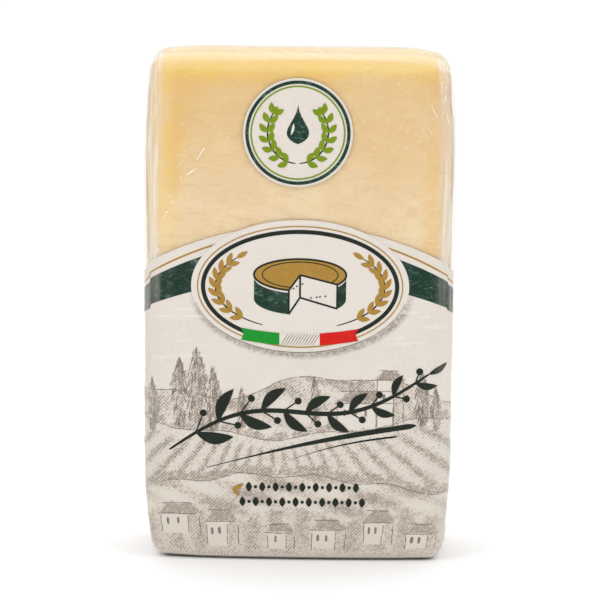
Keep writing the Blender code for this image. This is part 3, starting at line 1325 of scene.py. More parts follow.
@dataclass(frozen=True)
class Glints:
    """Painted glints of pale ink where sharp film creases catch light, high on both sides.

    Each has a middle on the map, a direction in degrees, a length and a width.
    """

    printer: Printer
    lift: float = 0.05
    flecks: tuple[tuple[float, ...], ...] = (
        (-20.9, 88.3, 56.0, 2.9, 0.26), (-20.3, 89.4, 56.0, 1.2, 0.16), (-22.9, 84.5, 38.0, 2.0, 0.34),
        (-22.0, 85.0, 60.0, 1.0, 0.18), (-24.9, 83.3, 64.0, 0.9, 0.16), (-26.6, 78.2, 30.0, 0.8, 0.22),
        (-27.8, 76.0, 42.0, 1.3, 0.26), (-28.4, 75.0, 60.0, 0.8, 0.14), (-30.1, 67.6, 66.0, 1.6, 0.22),
        (-29.4, 69.9, 64.0, 0.8, 0.16), (17.6, 77.5, 20.0, 0.8, 0.16), (19.8, 72.0, 30.0, 0.7, 0.14),
        (28.3, 97.9, -66.0, 3.6, 0.15), (27.2, 94.0, -58.0, 2.6, 0.13), (30.9, 101.6, 82.0, 2.6, 0.22),
        (31.3, 104.2, 62.0, 1.3, 0.26), (31.2, 96.5, 97.0, 3.0, 0.15), (30.4, 72.6, 84.0, 2.4, 0.14))

    def build(self) -> None:
        """Make every glint as a stroke that is widest in its middle, all as one piece."""
        table = np.array(self.flecks)
        turn = np.radians(table[:, 2])
        way = np.stack([np.cos(turn), np.sin(turn)], 1) * table[:, 3:4]
        share = np.linspace(-0.5, 0.5, 7)
        paths = table[:, None, 0:2] + way[:, None] * share[None, :, None]
        art = Artwork(self.printer, "film_glints", Ink.GLINT, self.lift)
        art.strokes(paths, table[:, 4:5] * (0.25 + 0.75 * np.cos(math.pi * share)))
        art.build()


@dataclass(frozen=True)
class ArchedEdge:
    """An edge that arches over the front and runs level round the sides and the back.

    On the front it is the apex less the square of the way over twice the radius. Past
    the turn it eases to its level: the rest of the fall shrinks as e to the minus way.
    At the film's upright fold it drops by a small step, more on the left.
    """

    apex: float
    radius: float
    turn: float = 33.0
    run: float = 9.0
    fold: float = 31.7
    steps: Pair = (0.9, 0.5)

    def rise(self, around: Array) -> Array:
        """Rise of the edge.

        Args:
            around: ways round.
        Returns:
            The rise at each.
        """
        way = np.abs(around)
        slope = self.turn / self.radius
        last = self.apex - self.turn ** 2 / (2 * self.radius)
        level = last - slope * self.run * (1.0 - np.exp(-(way - self.turn) / self.run))
        drop = np.where(around < 0.0, *self.steps) * ease((way - self.fold) / 0.4)
        return np.where(way < self.turn, self.apex - way ** 2 / (2 * self.radius), level) - drop


@dataclass(frozen=True)
class Label:
    """The printed part of the film: a white ground, a green band and gold hairlines."""

    film: FilmSkin
    printer: Printer
    white_edge: ArchedEdge = ArchedEdge(73.45, 62.0)
    hairline: ArchedEdge = ArchedEdge(71.9, 56.0)
    band_top: ArchedEdge = ArchedEdge(70.06, 60.0)
    band_bottom: ArchedEdge = ArchedEdge(61.95, 85.0)
    ground_lift: float = 0.06
    ink_lift: float = 0.105
    fan_foot: float = 5.0

    def build(self, emblem: "Emblem", drawing: "Countryside") -> None:
        """Make the label's ground with the drawing's tones, its band and its hairlines."""
        self.ground(drawing)
        self.band(emblem)
        self.hairlines()

    def ground(self, drawing: "Countryside") -> None:
        """The white ground: fixed rows low down, then rows that fan up to the arch.

        Args:
            drawing: gives the tones that are stored on it.
        """
        columns = self.film.columns()
        low_rows = self.film.rows(self.film.skin.lowest_rise, self.fan_foot)[:-1]
        share = np.linspace(0.0, 1.0, 116)[:, None]
        high_rows = self.fan_foot + (self.white_edge.rise(columns)[None, :] - self.fan_foot) * share
        rise = np.concatenate([np.repeat(low_rows[:, None], columns.size, axis=1), high_rows])
        around = np.repeat(columns[None, :], rise.shape[0], axis=0)
        art = Artwork(self.printer, "label_ground", Ink.GROUND, self.ground_lift)
        art.sheet(around, rise, loop=True)
        art.build({"tone": np.tile(drawing.tone(around, rise), (2, 1)),
                   "shadow": np.tile(drawing.shadow(around, rise), (2, 1))})

    def ways(self, start: float) -> tuple[Array, Array]:
        """Columns from a start on the right round the back to the same on the left.

        Args:
            start: way round of the first column.
        Returns:
            The ways, growing all along, and the same wrapped to the map.
        """
        girth = self.film.skin.half_girth
        columns = np.sort(self.film.columns() % (2 * girth))
        inner = columns[(columns > start + 0.2) & (columns < 2 * girth - start - 0.2)]
        ways = np.concatenate([[start], inner, [2 * girth - start]])
        return ways, np.where(ways > girth, ways - 2 * girth, ways)

    def band(self, emblem: "Emblem") -> None:
        """The dark band, from the emblem's right side round the back to its left.

        Args:
            emblem: badge whose edge the band's ends follow.
        """
        ways, wrapped = self.ways(emblem.clear_half_width())
        share = np.linspace(0.0, 1.0, 14)[:, None]
        rise = self.band_bottom.rise(wrapped) * (1.0 - share) + self.band_top.rise(wrapped) * share
        around = emblem.push_out(np.repeat(wrapped[None, :], 14, axis=0), rise) + (ways - wrapped)
        art = Artwork(self.printer, "label_band", Ink.DARK_GREEN, self.ink_lift)
        art.sheet(around, rise)
        art.build()

    def hairlines(self) -> None:
        """The gold line above the band, from the emblem round the back to it again."""
        ways, wrapped = self.ways(9.8)
        art = Artwork(self.printer, "label_hairline", Ink.GOLD, self.ink_lift)
        art.line(np.stack([ways, self.hairline.rise(wrapped)], 1), 0.46)
        art.build()


@dataclass(frozen=True)
class Emblem:
    """A badge on the label: an oval with a cut wheel of cheese between two ears of wheat.

    The wheel is given by its half sizes and its cut by two directions in degrees.
    """

    printer: Printer
    middle: Pair = (0.3, 60.2)
    half: Pair = (23.2, 14.4)
    ground_lift: float = 0.155
    ink_lift: float = 0.20
    wheel_rise: float = 2.6
    wheel: Pair = (9.8, 3.4)
    wheel_thick: float = 5.2
    cut: Pair = (-104.0, -36.0)
    ribbon_half: float = 12.6

    def clear_half_width(self) -> float:
        """Way from the middle of the front to where the band may begin."""
        return self.half[0] - 7.0

    def push_out(self, around: Array, rise: Array) -> Array:
        """Move places that lie under the badge out to its edge, level with where they are.

        Args:
            around, rise: map coordinates of each place.
        Returns:
            The new ways round.
        """
        inside = np.clip(1.0 - ((rise - self.middle[1]) / self.half[1]) ** 2, 0.0, 1.0)
        reach = (self.half[0] - 0.8) * np.sqrt(inside)
        moved = np.sign(around) * np.maximum(np.abs(around), reach + self.middle[0] * np.sign(around))
        return np.where(np.abs(around) < 40.0, moved, around)

    def build(self) -> None:
        """Make the badge's ground, rings, wheel, ears and ribbon."""
        self.ground()
        for name, ink, inset, wide in (("emblem_gold_ring", Ink.GOLD, 1.25, 0.26),
                                       ("emblem_dark_ring", Ink.INK, 2.1, 0.9)):
            art = self.shape(name, ink)
            art.ring(self.middle, self.half, inset, wide, 200)
            art.build()
        self.wheel_fields()
        self.wheel_lines()
        self.ears()
        self.ribbon()

    def shape(self, name: str, ink: Ink, step: float = 0.0) -> Artwork:
        """Start an inked shape of the badge, a step higher than its inks."""
        return Artwork(self.printer, name, ink, self.ink_lift + step)

    def ground(self) -> None:
        """The white oval and a thin pencil line that sets it off."""
        art = Artwork(self.printer, "emblem_ground", Ink.WHITE, self.ground_lift)
        art.disc(self.middle, self.half)
        art.build()
        half = (self.half[0] - 0.2, self.half[1] - 0.2)
        rim = self.shape("emblem_outline", Ink.PENCIL)
        rim.line(oval(self.middle, half, np.radians(np.linspace(-166.0, -14.0, 120))), 0.3, 0.7)
        rim.build()

    def wheel_fields(self) -> None:
        """The wheel's gold top and its green side, both without the wedge."""
        x, z = self.middle[0], self.middle[1] + self.wheel_rise
        wide, tall = self.wheel
        first, last = np.radians(self.cut)
        turn = np.linspace(last, first + 2 * math.pi, 70)
        share = np.linspace(0.02, 1.0, 6)[:, None]
        top = self.shape("emblem_wheel_top", Ink.GOLD)
        top.sheet(x + wide * share * np.cos(turn), z + tall * share * np.sin(turn))
        top.build()
        side = self.shape("emblem_wheel_side", Ink.DARK_GREEN)
        drop = np.linspace(0.0, 1.0, 5)[:, None]
        for start, end in ((math.pi, first + 2 * math.pi), (last, 0.0)):
            arc = np.linspace(start, end, 30)
            side.sheet(x + wide * np.cos(arc) + 0.0 * drop,
                       z - 0.6 + tall * np.sin(arc) - (self.wheel_thick - 0.6) * drop)
        side.build()

    def wheel_lines(self) -> None:
        """The outlines of the wheel and of its cut, with small holes in the cut faces."""
        x, z = self.middle[0], self.middle[1] + self.wheel_rise
        wide, tall = self.wheel
        first, last = np.radians(self.cut)
        ink = self.shape("emblem_wheel_lines", Ink.INK, 0.05)
        arc = np.linspace(last, first + 2 * math.pi, 80)
        for size in (1.0, 0.82):
            ink.line(oval((x, z), (wide * size, tall * size), arc), 0.42 * size ** 3)
        foot = z - self.wheel_thick * 0.94
        for px, pz in oval((x, z), self.wheel, np.array([first, last])):
            ink.straight((px, pz), (px, pz - self.wheel_thick), 8, 0.4)
            ink.straight((x, z), (px, pz), 10, 0.4)
            ink.straight((x, foot), (px, pz - self.wheel_thick), 10, 0.4)
        ink.straight((x, z), (x, foot), 8, 0.4)
        # The golden ratio spreads the holes unevenly but without chance
        for hole in range(7):
            px = x - 1.4 + 8.0 * ((hole * 0.618) % 1.0)
            pz = z - 1.6 - 3.2 * ((hole * 0.382 + 0.3) % 1.0) - 0.28 * abs(px - x)
            ink.disc((px, pz), (0.2, 0.16), 0.15)
        ink.build()

    def ears(self) -> None:
        """Two ears of wheat that curve up along the oval, one on each side."""
        stems = self.shape("emblem_ear_stems", Ink.INK)
        grains = self.shape("emblem_ear_grains", Ink.GOLD)
        angle = np.linspace(math.radians(-64.0), math.radians(44.0), 40)
        for sign in (-1.0, 1.0):
            path = oval(self.middle, (sign * (self.half[0] - 5.2), self.half[1] - 5.2), angle)
            stems.line(path, 0.4, 0.5)
            for place in range(8, 40, 4):
                base = path[place - 2]
                ahead, side = heading(path[place + 1] - path[place - 3])
                for flank in (-1.0, 1.0):
                    grains.leaf(base, base + ahead * 2.5 + side * flank * 1.35, 1.15)
            grains.leaf(path[-2], path[-1] + (path[-1] - path[-4]) * 1.1, 1.1)
        stems.build()
        grains.build()

    def ribbon(self) -> None:
        """A small ribbon in three fields that sags across the foot of the oval."""
        x, z = self.middle[0], self.middle[1] - 10.2
        end = self.ribbon_half
        share = np.linspace(-0.5, 0.5, 5)[:, None]
        notch = 1.8 * (0.5 - np.abs(share))
        for name, ink, low, high in (("ribbon_green", Ink.FLAG_GREEN, -end, -4.3),
                                     ("ribbon_middle", Ink.WHITE, -4.3, 4.3),
                                     ("ribbon_red", Ink.FLAG_RED, 4.3, end)):
            art = self.shape(name, ink, 0.06)
            way = np.linspace(low, high, 16)[None, :]
            way = way + np.where(way < 0.01 - end, notch, 0.0) - np.where(way > end - 0.01, notch, 0.0)
            art.sheet(x + way + 0.0 * share, z - 1.2 + 1.2 * (way / end) ** 2 + 2.6 * share)
            art.build()
        hatch = self.shape("ribbon_hatch", Ink.PENCIL, 0.10)
        for way in np.arange(-4.0, 3.2, 0.62):
            hatch.straight((x + way, z - 2.35), (x + way + 1.5, z), 6, 0.2, 0.3)
        hatch.build()


@dataclass(frozen=True)
class Seal:
    """A round seal on the clear film: rings round a drop and two small sprigs."""

    printer: Printer
    middle: Pair = (-0.45, 93.15)
    radius: float = 11.55
    ground_lift: float = 0.06
    ink_lift: float = 0.105

    def shape(self, name: str, ink: Ink, step: float = 0.0) -> Artwork:
        """Start an inked shape of the seal, a step higher than its inks."""
        return Artwork(self.printer, name, ink, self.ink_lift + step)

    def build(self) -> None:
        """Make the seal's disc, rings, drop and sprigs."""
        half = (self.radius, self.radius)
        ground = Artwork(self.printer, "seal_ground", Ink.GROUND, self.ground_lift)
        ground.disc(self.middle, half)
        ground.build()
        for name, ink, inset, wide in (("seal_dark_ring", Ink.DARK_GREEN, 0.5, 0.7),
                                       ("seal_leaf_ring", Ink.LEAF_GREEN, 1.55, 0.34)):
            art = self.shape(name, ink)
            art.ring(self.middle, half, inset, wide, 120)
            art.build()
        x, z = self.middle
        self.drop(x, z + 1.4)
        self.sprigs(x, z + 0.2)

    def drop(self, x: float, z: float) -> None:
        """A drop, its half width the sine of the way down to a power, with a shine.

        Args:
            x, z: its middle.
        """
        art = self.shape("seal_drop", Ink.DARK_GREEN)
        down = np.linspace(0.0, 1.0, 25)[:, None]
        across = np.linspace(-1.0, 1.0, 7)[None, :]
        half = 2.9 * np.sin(math.pi * down ** 1.7) ** 0.8 * (0.35 + 0.65 * down)
        art.sheet(x + half * across, z + 4.6 - 8.4 * down + 0.0 * across)
        art.build()
        shine = self.shape("seal_drop_shine", Ink.WHITE, 0.05)
        shine.leaf((x - 1.5, z - 1.9), (x - 0.9, z + 0.6), 0.55, 0.15)
        shine.build()

    def sprigs(self, x: float, z: float) -> None:
        """Two sprigs that part at the foot and curve up round the drop.

        Args:
            x, z: the middle between them.
        """
        stems = self.shape("seal_stems", Ink.DARK_GREEN)
        leaves = self.shape("seal_leaves", Ink.LEAF_GREEN, 0.04)
        angle = np.linspace(math.radians(-86.0), math.radians(38.0), 36)
        for sign in (-1.0, 1.0):
            path = oval((x, z), (sign * 6.4, 6.7), angle)
            stems.line(path, 0.42, 0.4)
            for place in range(5, 36, 5):
                base = path[place - 1]
                ahead, side = heading(path[place] - path[place - 4])
                for flank in (-1.0, 1.0):
                    leaves.leaf(base, base + ahead * 1.9 + side * flank * 1.55, 1.25, 0.12 * flank)
            leaves.leaf(path[-1], path[-1] + (path[-1] - path[-4]) * 1.1, 1.15)
        stems.build()
        leaves.build()


@dataclass(frozen=True)
class Branch:
    """A large inked branch across the label, over a long underline and a thin one."""

    printer: Printer
    lift: float = 0.16
    underlines: tuple[tuple[Pair, Pair, float], ...] = (
        ((-19.5, 20.6), (25.5, 30.4), 1.15), ((-2.0, 22.4), (21.5, 27.9), 0.4))

    def build(self) -> None:
        """Make the stem, its leaves with a berry across from each, and the underlines."""
        art = Artwork(self.printer, "branch_print", Ink.INK, self.lift)
        share = np.linspace(0.0, 1.0, 60)
        stem = np.stack([-27.5 + 55.5 * share, 24.5 + 17.0 * share + 3.4 * np.sin(share * 2 * math.pi)], 1)
        art.line(stem, 1.0, 0.65)
        for place in range(6, 58, 5):
            base = stem[place]
            ahead, side = heading(base - stem[place - 2])
            side = side if (place // 5) % 2 else -side
            size = 8.6 - 4.0 * share[place]
            bend = 0.10 * size * (1.0 if (place // 5) % 2 else -1.0)
            art.leaf(base, base + ahead * size * 0.78 + side * size * 0.62, 0.32 * size, bend, 5)
            berry = base + ahead * size * 0.45 - side * size * 0.34
            art.straight(base, berry, 8, 0.32, 0.5)
            art.disc(tuple(berry), (0.75, 0.75), 0.3)
        art.leaf(stem[-1], stem[-1] + (4.2, 2.6), 1.3, 0.2, 5)
        press = (0.12 + 0.88 * ease(share * 1.25)) * np.sqrt(np.clip((1.0 - share) * 30.0, 0.05, 1.0))
        for start, end, wide in self.underlines:
            under = np.linspace(start, end, share.size)
            under[:, 1] += 0.8 * np.sin(math.pi * share)
            art.strokes(under[None], (wide * press)[None])
        art.build()


@dataclass(frozen=True)
class Ornament:
    """Two short rows of lozenges and dots under the branch, led by a pair of gold leaves."""

    printer: Printer
    middle: Pair = (1.2, 15.0)
    pitch: float = 1.45
    counts: tuple[int, int] = (17, 19)
    lift: float = 0.16

    def build(self) -> None:
        """Make the lozenges with small dots between them, and the gold leaves."""
        art = Artwork(self.printer, "ornament_print", Ink.INK, self.lift)
        for row, count in enumerate(self.counts):
            z = self.middle[1] + 1.5 - 3.3 * row
            for place in range(count):
                x = self.middle[0] + (place - (count - 1) / 2) * self.pitch
                if place % 2:
                    art.disc((x, z), (0.36, 0.36), 0.2)
                else:
                    art.leaf((x, z - 1.05), (x, z + 1.05), 1.3)
        art.build()
        gold = Artwork(self.printer, "ornament_leaf", Ink.GOLD, self.lift)
        x, z = self.middle[0] - 15.2, self.middle[1] + 1.0
        gold.leaf((x, z), (x + 2.4, z + 1.2), 1.0, 0.2)
        gold.leaf((x, z), (x + 1.5, z - 1.6), 0.9, -0.15)
        gold.build()


@dataclass(frozen=True)
class House:
    """A house of the drawing: a light front, a shaded side, a gable roof and windows.

    x and z are the foot of its left wall, and side is the share of its width in shade.
    """

    x: float
    z: float
    wide: float
    tall: float
    roof: float
    side: float = 0.3
    windows: int = 2

    def shade(self, tone: Array, u: Array, v: Array) -> Array:
        """The tones with this house over them.

        Args:
            tone: tones drawn so far.
            u, v: ways round and rises of the places.
        Returns:
            The new tones.
        """
        across, up = (u - self.x) / self.wide, v - self.z
        body = (across > 0.0) & (across < 1.0) & (up > 0.0) & (up < self.tall)
        tone = np.where(body, np.where(across > 1.0 - self.side, 0.50, 0.05), tone)
        slope = np.minimum(1.0, 3.2 * np.minimum(across + 0.06, 1.06 - across))
        top = (up >= self.tall) & (up < self.tall + self.roof * slope) & (slope > 0.0)
        return np.where(top, 0.92, tone)

    def panes(self) -> list[Array]:
        """Short upright strokes, one for each window."""
        share = (np.arange(self.windows) + 0.7) / (self.windows + 0.7) * (1.0 - self.side)
        level = self.z + 0.62 * self.tall + np.linspace(-0.75, 0.75, 5)
        return [np.stack([np.full(5, self.x + part * self.wide), level], 1) for part in share]

    def outline(self) -> list[Array]:
        """Lines of the house: its walls, its eaves and its ridge.

        Returns:
            The lines' places, about two to a millimetre.
        """
        left, right, low, high = self.x, self.x + self.wide, self.z, self.z + self.tall
        corner, ridge = right - self.side * self.wide, high + self.roof
        ends = [((wall, low), (wall, high)) for wall in (left, right, corner)]
        ends += [((left - 0.6, high), (right + 0.6, high)), ((left + 0.5, ridge), (right - 0.5, ridge))]
        return [np.linspace(start, end, 5 * max(1, round(math.dist(start, end) / 2.2)))
                for start, end in ends]


@dataclass(frozen=True)
class Countryside:
    """A pencil drawing low on the label: hills, vine rows, farms, trees and a village.

    A tree is the place of its foot and its height.
    """

    printer: Printer
    emblem: Emblem
    lift: float = 0.11
    seed: int = 7
    reach: float = 62.0
    line: float = 0.24
    pane: float = 0.72
    trees: tuple[Triple, ...] = (
        (-25.5, 29.0, 15.5), (-21.8, 28.4, 18.5), (-18.3, 28.0, 14.5), (-12.0, 29.0, 9.0),
        (3.6, 30.0, 10.5), (26.6, 29.5, 12.5), (29.6, 29.0, 9.5), (-31.5, 28.0, 12.0),
        (37.0, 28.0, 13.0), (42.0, 28.0, 9.0), (-41.0, 28.0, 13.0))
    farm: tuple[House, ...] = (
        House(8.5, 29.5, 12.0, 5.6, 2.6, 0.3, 3), House(17.0, 30.0, 5.6, 10.2, 2.0, 0.35, 1))
    village: tuple[House, ...] = (
        House(-30.0, 6.0, 8.5, 4.2, 2.4), House(-20.0, 3.2, 7.0, 5.4, 2.6, 0.35),
        House(-6.5, 2.6, 6.0, 3.6, 2.0, 0.3, 1), House(3.4, 2.4, 7.5, 4.6, 2.2),
        House(15.0, 4.0, 6.4, 4.8, 2.6, 0.35), House(24.5, 2.6, 7.0, 3.6, 2.2))

    @staticmethod
    def far_hill(x: Array) -> Array:
        """Height of the far hills: two sine waves."""
        return 38.5 + 2.4 * np.sin(0.11 * x + 0.6) + 0.9 * np.sin(0.27 * x + 2.0)

    @staticmethod
    def middle_hill(x: Array) -> Array:
        """Height of the middle hill: one long and one short wave."""
        return 29.8 + 2.4 * np.sin(0.075 * x - 1.2) + 0.6 * np.sin(0.31 * x)

    @staticmethod
    def near_hill(x: Array) -> Array:
        """Height of the near slope."""
        return 17.0 + 2.2 * np.sin(0.065 * x + 1.9) + 0.5 * np.sin(0.4 * x)

    @staticmethod
    def crown(tall: float, share: Array) -> Array:
        """Half width of a cypress at a share of its height: a sine, fullest low down."""
        return 0.15 * tall * np.sin(math.pi * np.clip(share, 0.0, 1.0) ** 0.8) ** 0.75

    def tree_tone(self, u: Array, v: Array) -> Array:
        """Tones of the cypresses, pointed at both ends and darker on the right.

        Args:
            u, v: ways round and rises of the places.
        Returns:
            The tones, 0 beside the trees.
        """
        tone = np.zeros(u.shape)
        for foot_x, foot_z, tall in self.trees:
            share = (v - foot_z) / tall
            half = self.crown(tall, share)
            inside = (share > 0.0) & (share < 1.0) & (np.abs(u - foot_x) < half)
            tone = np.where(inside, 0.62 + 0.26 * (u - foot_x) / np.maximum(half, 0.1), tone)
        return tone

    def tone(self, u: Array, v: Array) -> Array:
        """How dark the drawing is over the label, laid from far to near.

        Each stretch of land is a height over the way round, and the tone below it.

        Args:
            u, v: ways round and rises of the places.
        Returns:
            The tones, from 0 to 1.
        """
        far, middle, near = self.far_hill(u), self.middle_hill(u), self.near_hill(u)
        mist = 0.30 + 0.34 * hump((far - v) / 2.6) + 0.16 * np.sin(0.35 * u + 0.9 * v)
        crowns = middle + 1.5 * np.abs(np.sin(0.62 * u + 1.0)) + 0.6 * np.abs(np.sin(1.7 * u))
        tone = np.where(v < crowns, 0.66, np.where(v < far, mist, 0.0))
        for house in self.farm:
            tone = house.shade(tone, u, v)
        vines = 0.5 + 0.5 * np.sin(58.0 * np.arctan2(u + 6.0, 46.0 - v))
        slope = 0.28 + 0.44 * vines ** 2 * ease((middle - v - 1.0) / 2.0)
        tone = np.maximum(np.where(v < middle, slope, tone), self.tree_tone(u, v))
        hedge = near + 0.9 + 0.9 * np.abs(np.sin(0.8 * u + 0.4)) + 0.5 * np.abs(np.sin(2.3 * u))
        field = 0.42 + 0.20 * np.sin(0.5 * u + 1.3 * v) + 0.18 * np.sin(0.21 * u - 0.6 * v)
        bushes = 9.4 + 1.5 * np.sin(0.25 * u + 2.0) + 1.1 * np.abs(np.sin(0.85 * u))
        bushes = bushes + 0.5 * np.abs(np.sin(2.1 * u))
        for top, dark in ((hedge, 0.70), (near, field), (bushes, 0.52 + 0.14 * np.sin(1.1 * u))):
            tone = np.where(v < top, dark, tone)
        for house in self.village:
            tone = house.shade(tone, u, v)
        tone = np.where(v < 2.6 + 0.6 * np.sin(0.3 * u), 0.42, tone)
        return np.clip(tone, 0.0, 1.0) * ease((self.reach - np.abs(u)) / 24.0) * ease(v / 1.2)

    def shadow(self, u: Array, v: Array) -> Array:
        """How dark the soft shadow printed under the badge is: an oval, set off downwards.

        Args:
            u, v: ways round and rises of the places.
        Returns:
            Amounts from 0 to 1.
        """
        middle, half = self.emblem.middle, self.emblem.half
        size = np.hypot((u - middle[0] - 0.5) / half[0], (v - middle[1] + 0.5) / half[1])
        return ease((1.058 - size) / 0.050) * ease((middle[1] + 1.0 - v) / 8.0)

    def strokes_along(self, path: Array, width: float, rng: np.random.Generator) -> tuple[Array, Array]:
        """Trace a path with strokes of five places that wander a little.

        Args:
            path: map places along the path.
            width: width of a stroke.
            rng: source of the wandering.
        Returns:
            The strokes' places and their widths.
        """
        count = max(1, (len(path) - 1) // 4)
        first = 4 * np.arange(count)[:, None] + np.arange(5)[None, :]
        pieces = path[np.minimum(first, len(path) - 1)]
        strays = rng.normal(0.0, 0.06, (count, 1, 2)) + rng.normal(0.0, 0.02, pieces.shape)
        press = width * rng.uniform(0.7, 1.1, (count, 1)) * np.array([[0.5, 1.0, 0.9, 1.0, 0.5]])
        return pieces + strays, press

    def tree_strokes(self, rng: np.random.Generator) -> tuple[Array, Array]:
        """Short upward strokes that fill the cypresses, five to a millimetre of height.

        Args:
            rng: source of their places and widths.
        Returns:
            The strokes' places and their widths.
        """
        places, widths = [], []
        for foot_x, foot_z, tall in self.trees:
            count = int(5 * tall)
            share = rng.uniform(0.02, 0.93, count)
            half = self.crown(tall, share)
            side = rng.uniform(-0.9, 0.9, count)
            start = np.stack([foot_x + half * side, foot_z + tall * share], 1)
            lean = np.stack([-side * 0.5, np.full(count, 1.5)], 1)
            places.append(start[:, None] + np.linspace(0.0, 1.0, 5)[None, :, None] * lean[:, None])
            widths.append(0.2 * rng.uniform(0.6, 1.2, (count, 1)) * np.array([[0.4, 1.0, 1.0, 0.7, 0.3]]))
        return np.concatenate(places), np.concatenate(widths)

    def build(self) -> None:
        """Draw the hills, the houses and the trees' strokes, fading towards the sides."""
        rng = np.random.default_rng(self.seed)
        ways = np.linspace(-self.reach + 6.0, self.reach - 6.0, 161)
        houses = self.farm + self.village
        hills = (self.far_hill, self.middle_hill, self.near_hill)
        paths = [(np.stack([ways, hill(ways)], 1), self.line) for hill in hills]
        paths += [(path, self.line) for house in houses for path in house.outline()]
        paths += [(path, self.pane) for house in houses for path in house.panes()]
        drawn = [self.strokes_along(path, width, rng) for path, width in paths]
        drawn.append(self.tree_strokes(rng))
        places, widths = (np.concatenate(part) for part in zip(*drawn))
        fade = ease((self.reach - 8.0 - np.abs(places[..., 0])) / 18.0)
        art = Artwork(self.printer, "countryside_print", Ink.PENCIL, self.lift)
        art.strokes(places, widths * fade)
        art.build()


@dataclass(frozen=True)
class BackPanels:
    """Two empty framed panels on the back, one on each side of the lap."""

    printer: Printer
    half: Pair = (10.5, 17.0)
    from_lap: float = 18.0
    middle_rise: float = 31.0
    corner: float = 2.2
    lift: float = 0.12

    def frame(self, inset: float) -> Array:
        """A rectangle with round corners, round the origin.

        Args:
            inset: distance inside the panel's edge.
        Returns:
            Evenly spaced places along it, the last at the first.
        """
        radius = self.corner - inset / 2
        flat = np.array(self.half) - radius - inset
        quarter = np.linspace(0.0, math.pi / 2, 9)
        arcs = [oval((across * flat[0], up * flat[1]), (radius, radius), quarter + turns * math.pi / 2)
                for turns, (across, up) in enumerate(((1, 1), (-1, 1), (-1, -1), (1, -1)))]
        path = np.concatenate([*arcs, arcs[0][:1]])
        way = np.concatenate([[0.0], np.cumsum(np.hypot(*np.diff(path, axis=0).T))])
        even = np.linspace(0.0, way[-1], 170)
        return np.stack([np.interp(even, way, path[:, axis]) for axis in (0, 1)], 1)

    def build(self) -> None:
        """Make both panels' frames, a wide one and a thin one inside it, as one piece."""
        art = Artwork(self.printer, "back_frames", Ink.DARK_GREEN, self.lift)
        middle = self.printer.skin.half_girth - self.from_lap
        for sign in (1.0, -1.0):
            for inset, width in ((0.0, 0.6), (1.2, 0.25)):
                art.line(self.frame(inset) + (sign * middle, self.middle_rise), width)
        art.build()


@dataclass(frozen=True)
class SoftLight:
    """A square soft light that looks at the pack."""

    name: str
    place: Triple
    size: float
    power: float


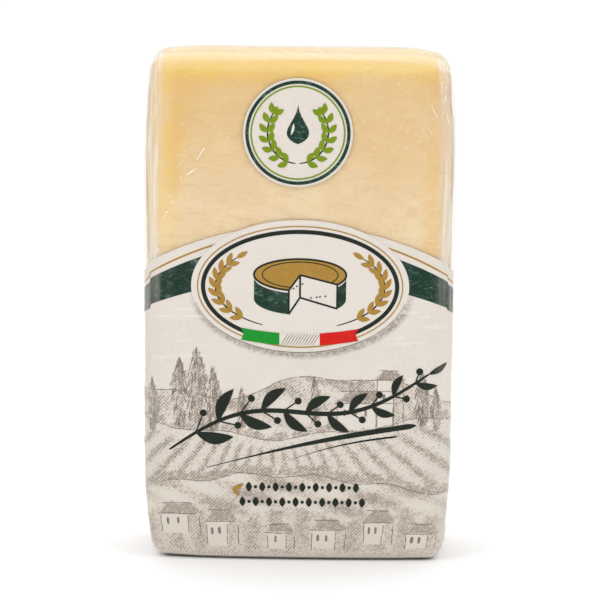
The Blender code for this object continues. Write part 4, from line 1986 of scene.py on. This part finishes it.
@dataclass(frozen=True)
class Studio:
    """A pale floor, soft lights and the camera at the photograph's angle."""

    distance: float = 650.0
    elevation: float = 8.59
    azimuth: float = -1.0
    roll: float = 0.537
    target: Triple = (0.04, 0.0, 55.0)
    lens: float = 178.2
    floor_half: float = 9000.0
    lights: tuple[SoftLight, ...] = (
        SoftLight("ceiling_light", (0.0, 1200.0, 5000.0), 9000.0, 212.0),
        SoftLight("key_light", (-520.0, -560.0, 760.0), 260.0, 1.1),
        SoftLight("fill_light", (640.0, -460.0, 420.0), 260.0, 0.7),
    )

    def build(self) -> None:
        """Set up the floor, the lights, the camera and the colour view."""
        self.floor()
        for light in self.lights:
            self.light(light)
        self.camera()
        self.surroundings()

    def floor(self) -> None:
        """A wide plain floor under the pack."""
        steps = np.linspace(-self.floor_half, self.floor_half, 9)
        x, y = np.meshgrid(steps, steps)
        points = np.stack([x, y, np.zeros_like(x)], -1).reshape(-1, 3)
        floor = make_object("floor", points, grid_faces(9, 9, False))
        shading = Shading("floor")
        colour = shading.blend(shading.noise(400.0, 1.0), (0.955, 0.957, 0.96), (0.97, 0.972, 0.975))
        floor.data.materials.append(shading.opaque(colour, 0.7, 0.1))

    def light(self, light: SoftLight) -> None:
        """Hang one soft light and turn it towards the middle of the pack.

        Args:
            light: its name, place, size and power.
        """
        lamp = bpy.data.lights.new(light.name, "AREA")
        lamp.shape = "SQUARE"
        lamp.size = light.size * METRES
        lamp.energy = light.power
        place = np.array(light.place)
        away = place - np.array(self.target)
        self.aim(bpy.data.objects.new(light.name, lamp), place, away / np.linalg.norm(away))

    def aim(self, thing: bpy.types.Object, place: Array, backward: Array, roll: float = 0.0) -> None:
        """Put a light or a camera in the scene.

        Args:
            thing: the light or camera.
            place: where it stands.
            backward: direction of its back.
            roll: degrees that it is rolled by.
        """
        right = np.cross([0.0, 0.0, 1.0], backward)
        right = right / np.linalg.norm(right)
        above = np.cross(backward, right)
        turn = math.radians(roll)
        matrix = np.eye(4)
        matrix[:3, 0] = right * math.cos(turn) + above * math.sin(turn)
        matrix[:3, 1] = above * math.cos(turn) - right * math.sin(turn)
        matrix[:3, 2] = backward
        matrix[:3, 3] = place * METRES
        bpy.context.scene.collection.objects.link(thing)
        thing.matrix_world = Matrix(matrix.tolist())

    def camera(self) -> None:
        """A long-lens camera a little above the pack, looking slightly down."""
        lens = bpy.data.cameras.new("camera")
        lens.lens = self.lens
        lens.sensor_width = 36.0
        lens.clip_end = 100.0
        thing = bpy.data.objects.new("camera", lens)
        up, turn = math.radians(self.elevation), math.radians(self.azimuth)
        forward = np.array([math.sin(turn) * math.cos(up), math.cos(turn) * math.cos(up), -math.sin(up)])
        place = np.array(self.target) - forward * self.distance
        self.aim(thing, place, -forward, self.roll)
        bpy.context.scene.camera = thing

    def surroundings(self) -> None:
        """A white room of even light, shown without a film look."""
        world = bpy.data.worlds.new("white_room")
        world.use_nodes = True
        background = world.node_tree.nodes["Background"]
        background.inputs["Color"].default_value = (1.0, 1.0, 1.0, 1.0)
        background.inputs["Strength"].default_value = 0.75
        bpy.context.scene.world = world
        bpy.context.scene.view_settings.view_transform = "Standard"


def main() -> None:
    """Build the studio and the pack, piece by piece."""
    logging.basicConfig(level=logging.INFO, format="%(name)s %(message)s")
    skin = Skin()
    creases = skin.creases()
    printer = Printer(skin, creases)
    Studio().build()
    CheeseBlock(skin).build()
    film = FilmSkin(skin, creases)
    emblem = Emblem(printer)
    drawing = Countryside(printer, emblem)
    label = Label(film, printer)
    film.build(printer, label.white_edge)
    label.build(emblem, drawing)
    emblem.build()
    Seal(printer).build()
    Branch(printer).build()
    Ornament(printer).build()
    drawing.build()
    Glints(printer).build()
    BackPanels(printer).build()


if __name__ == "__main__":
    main()
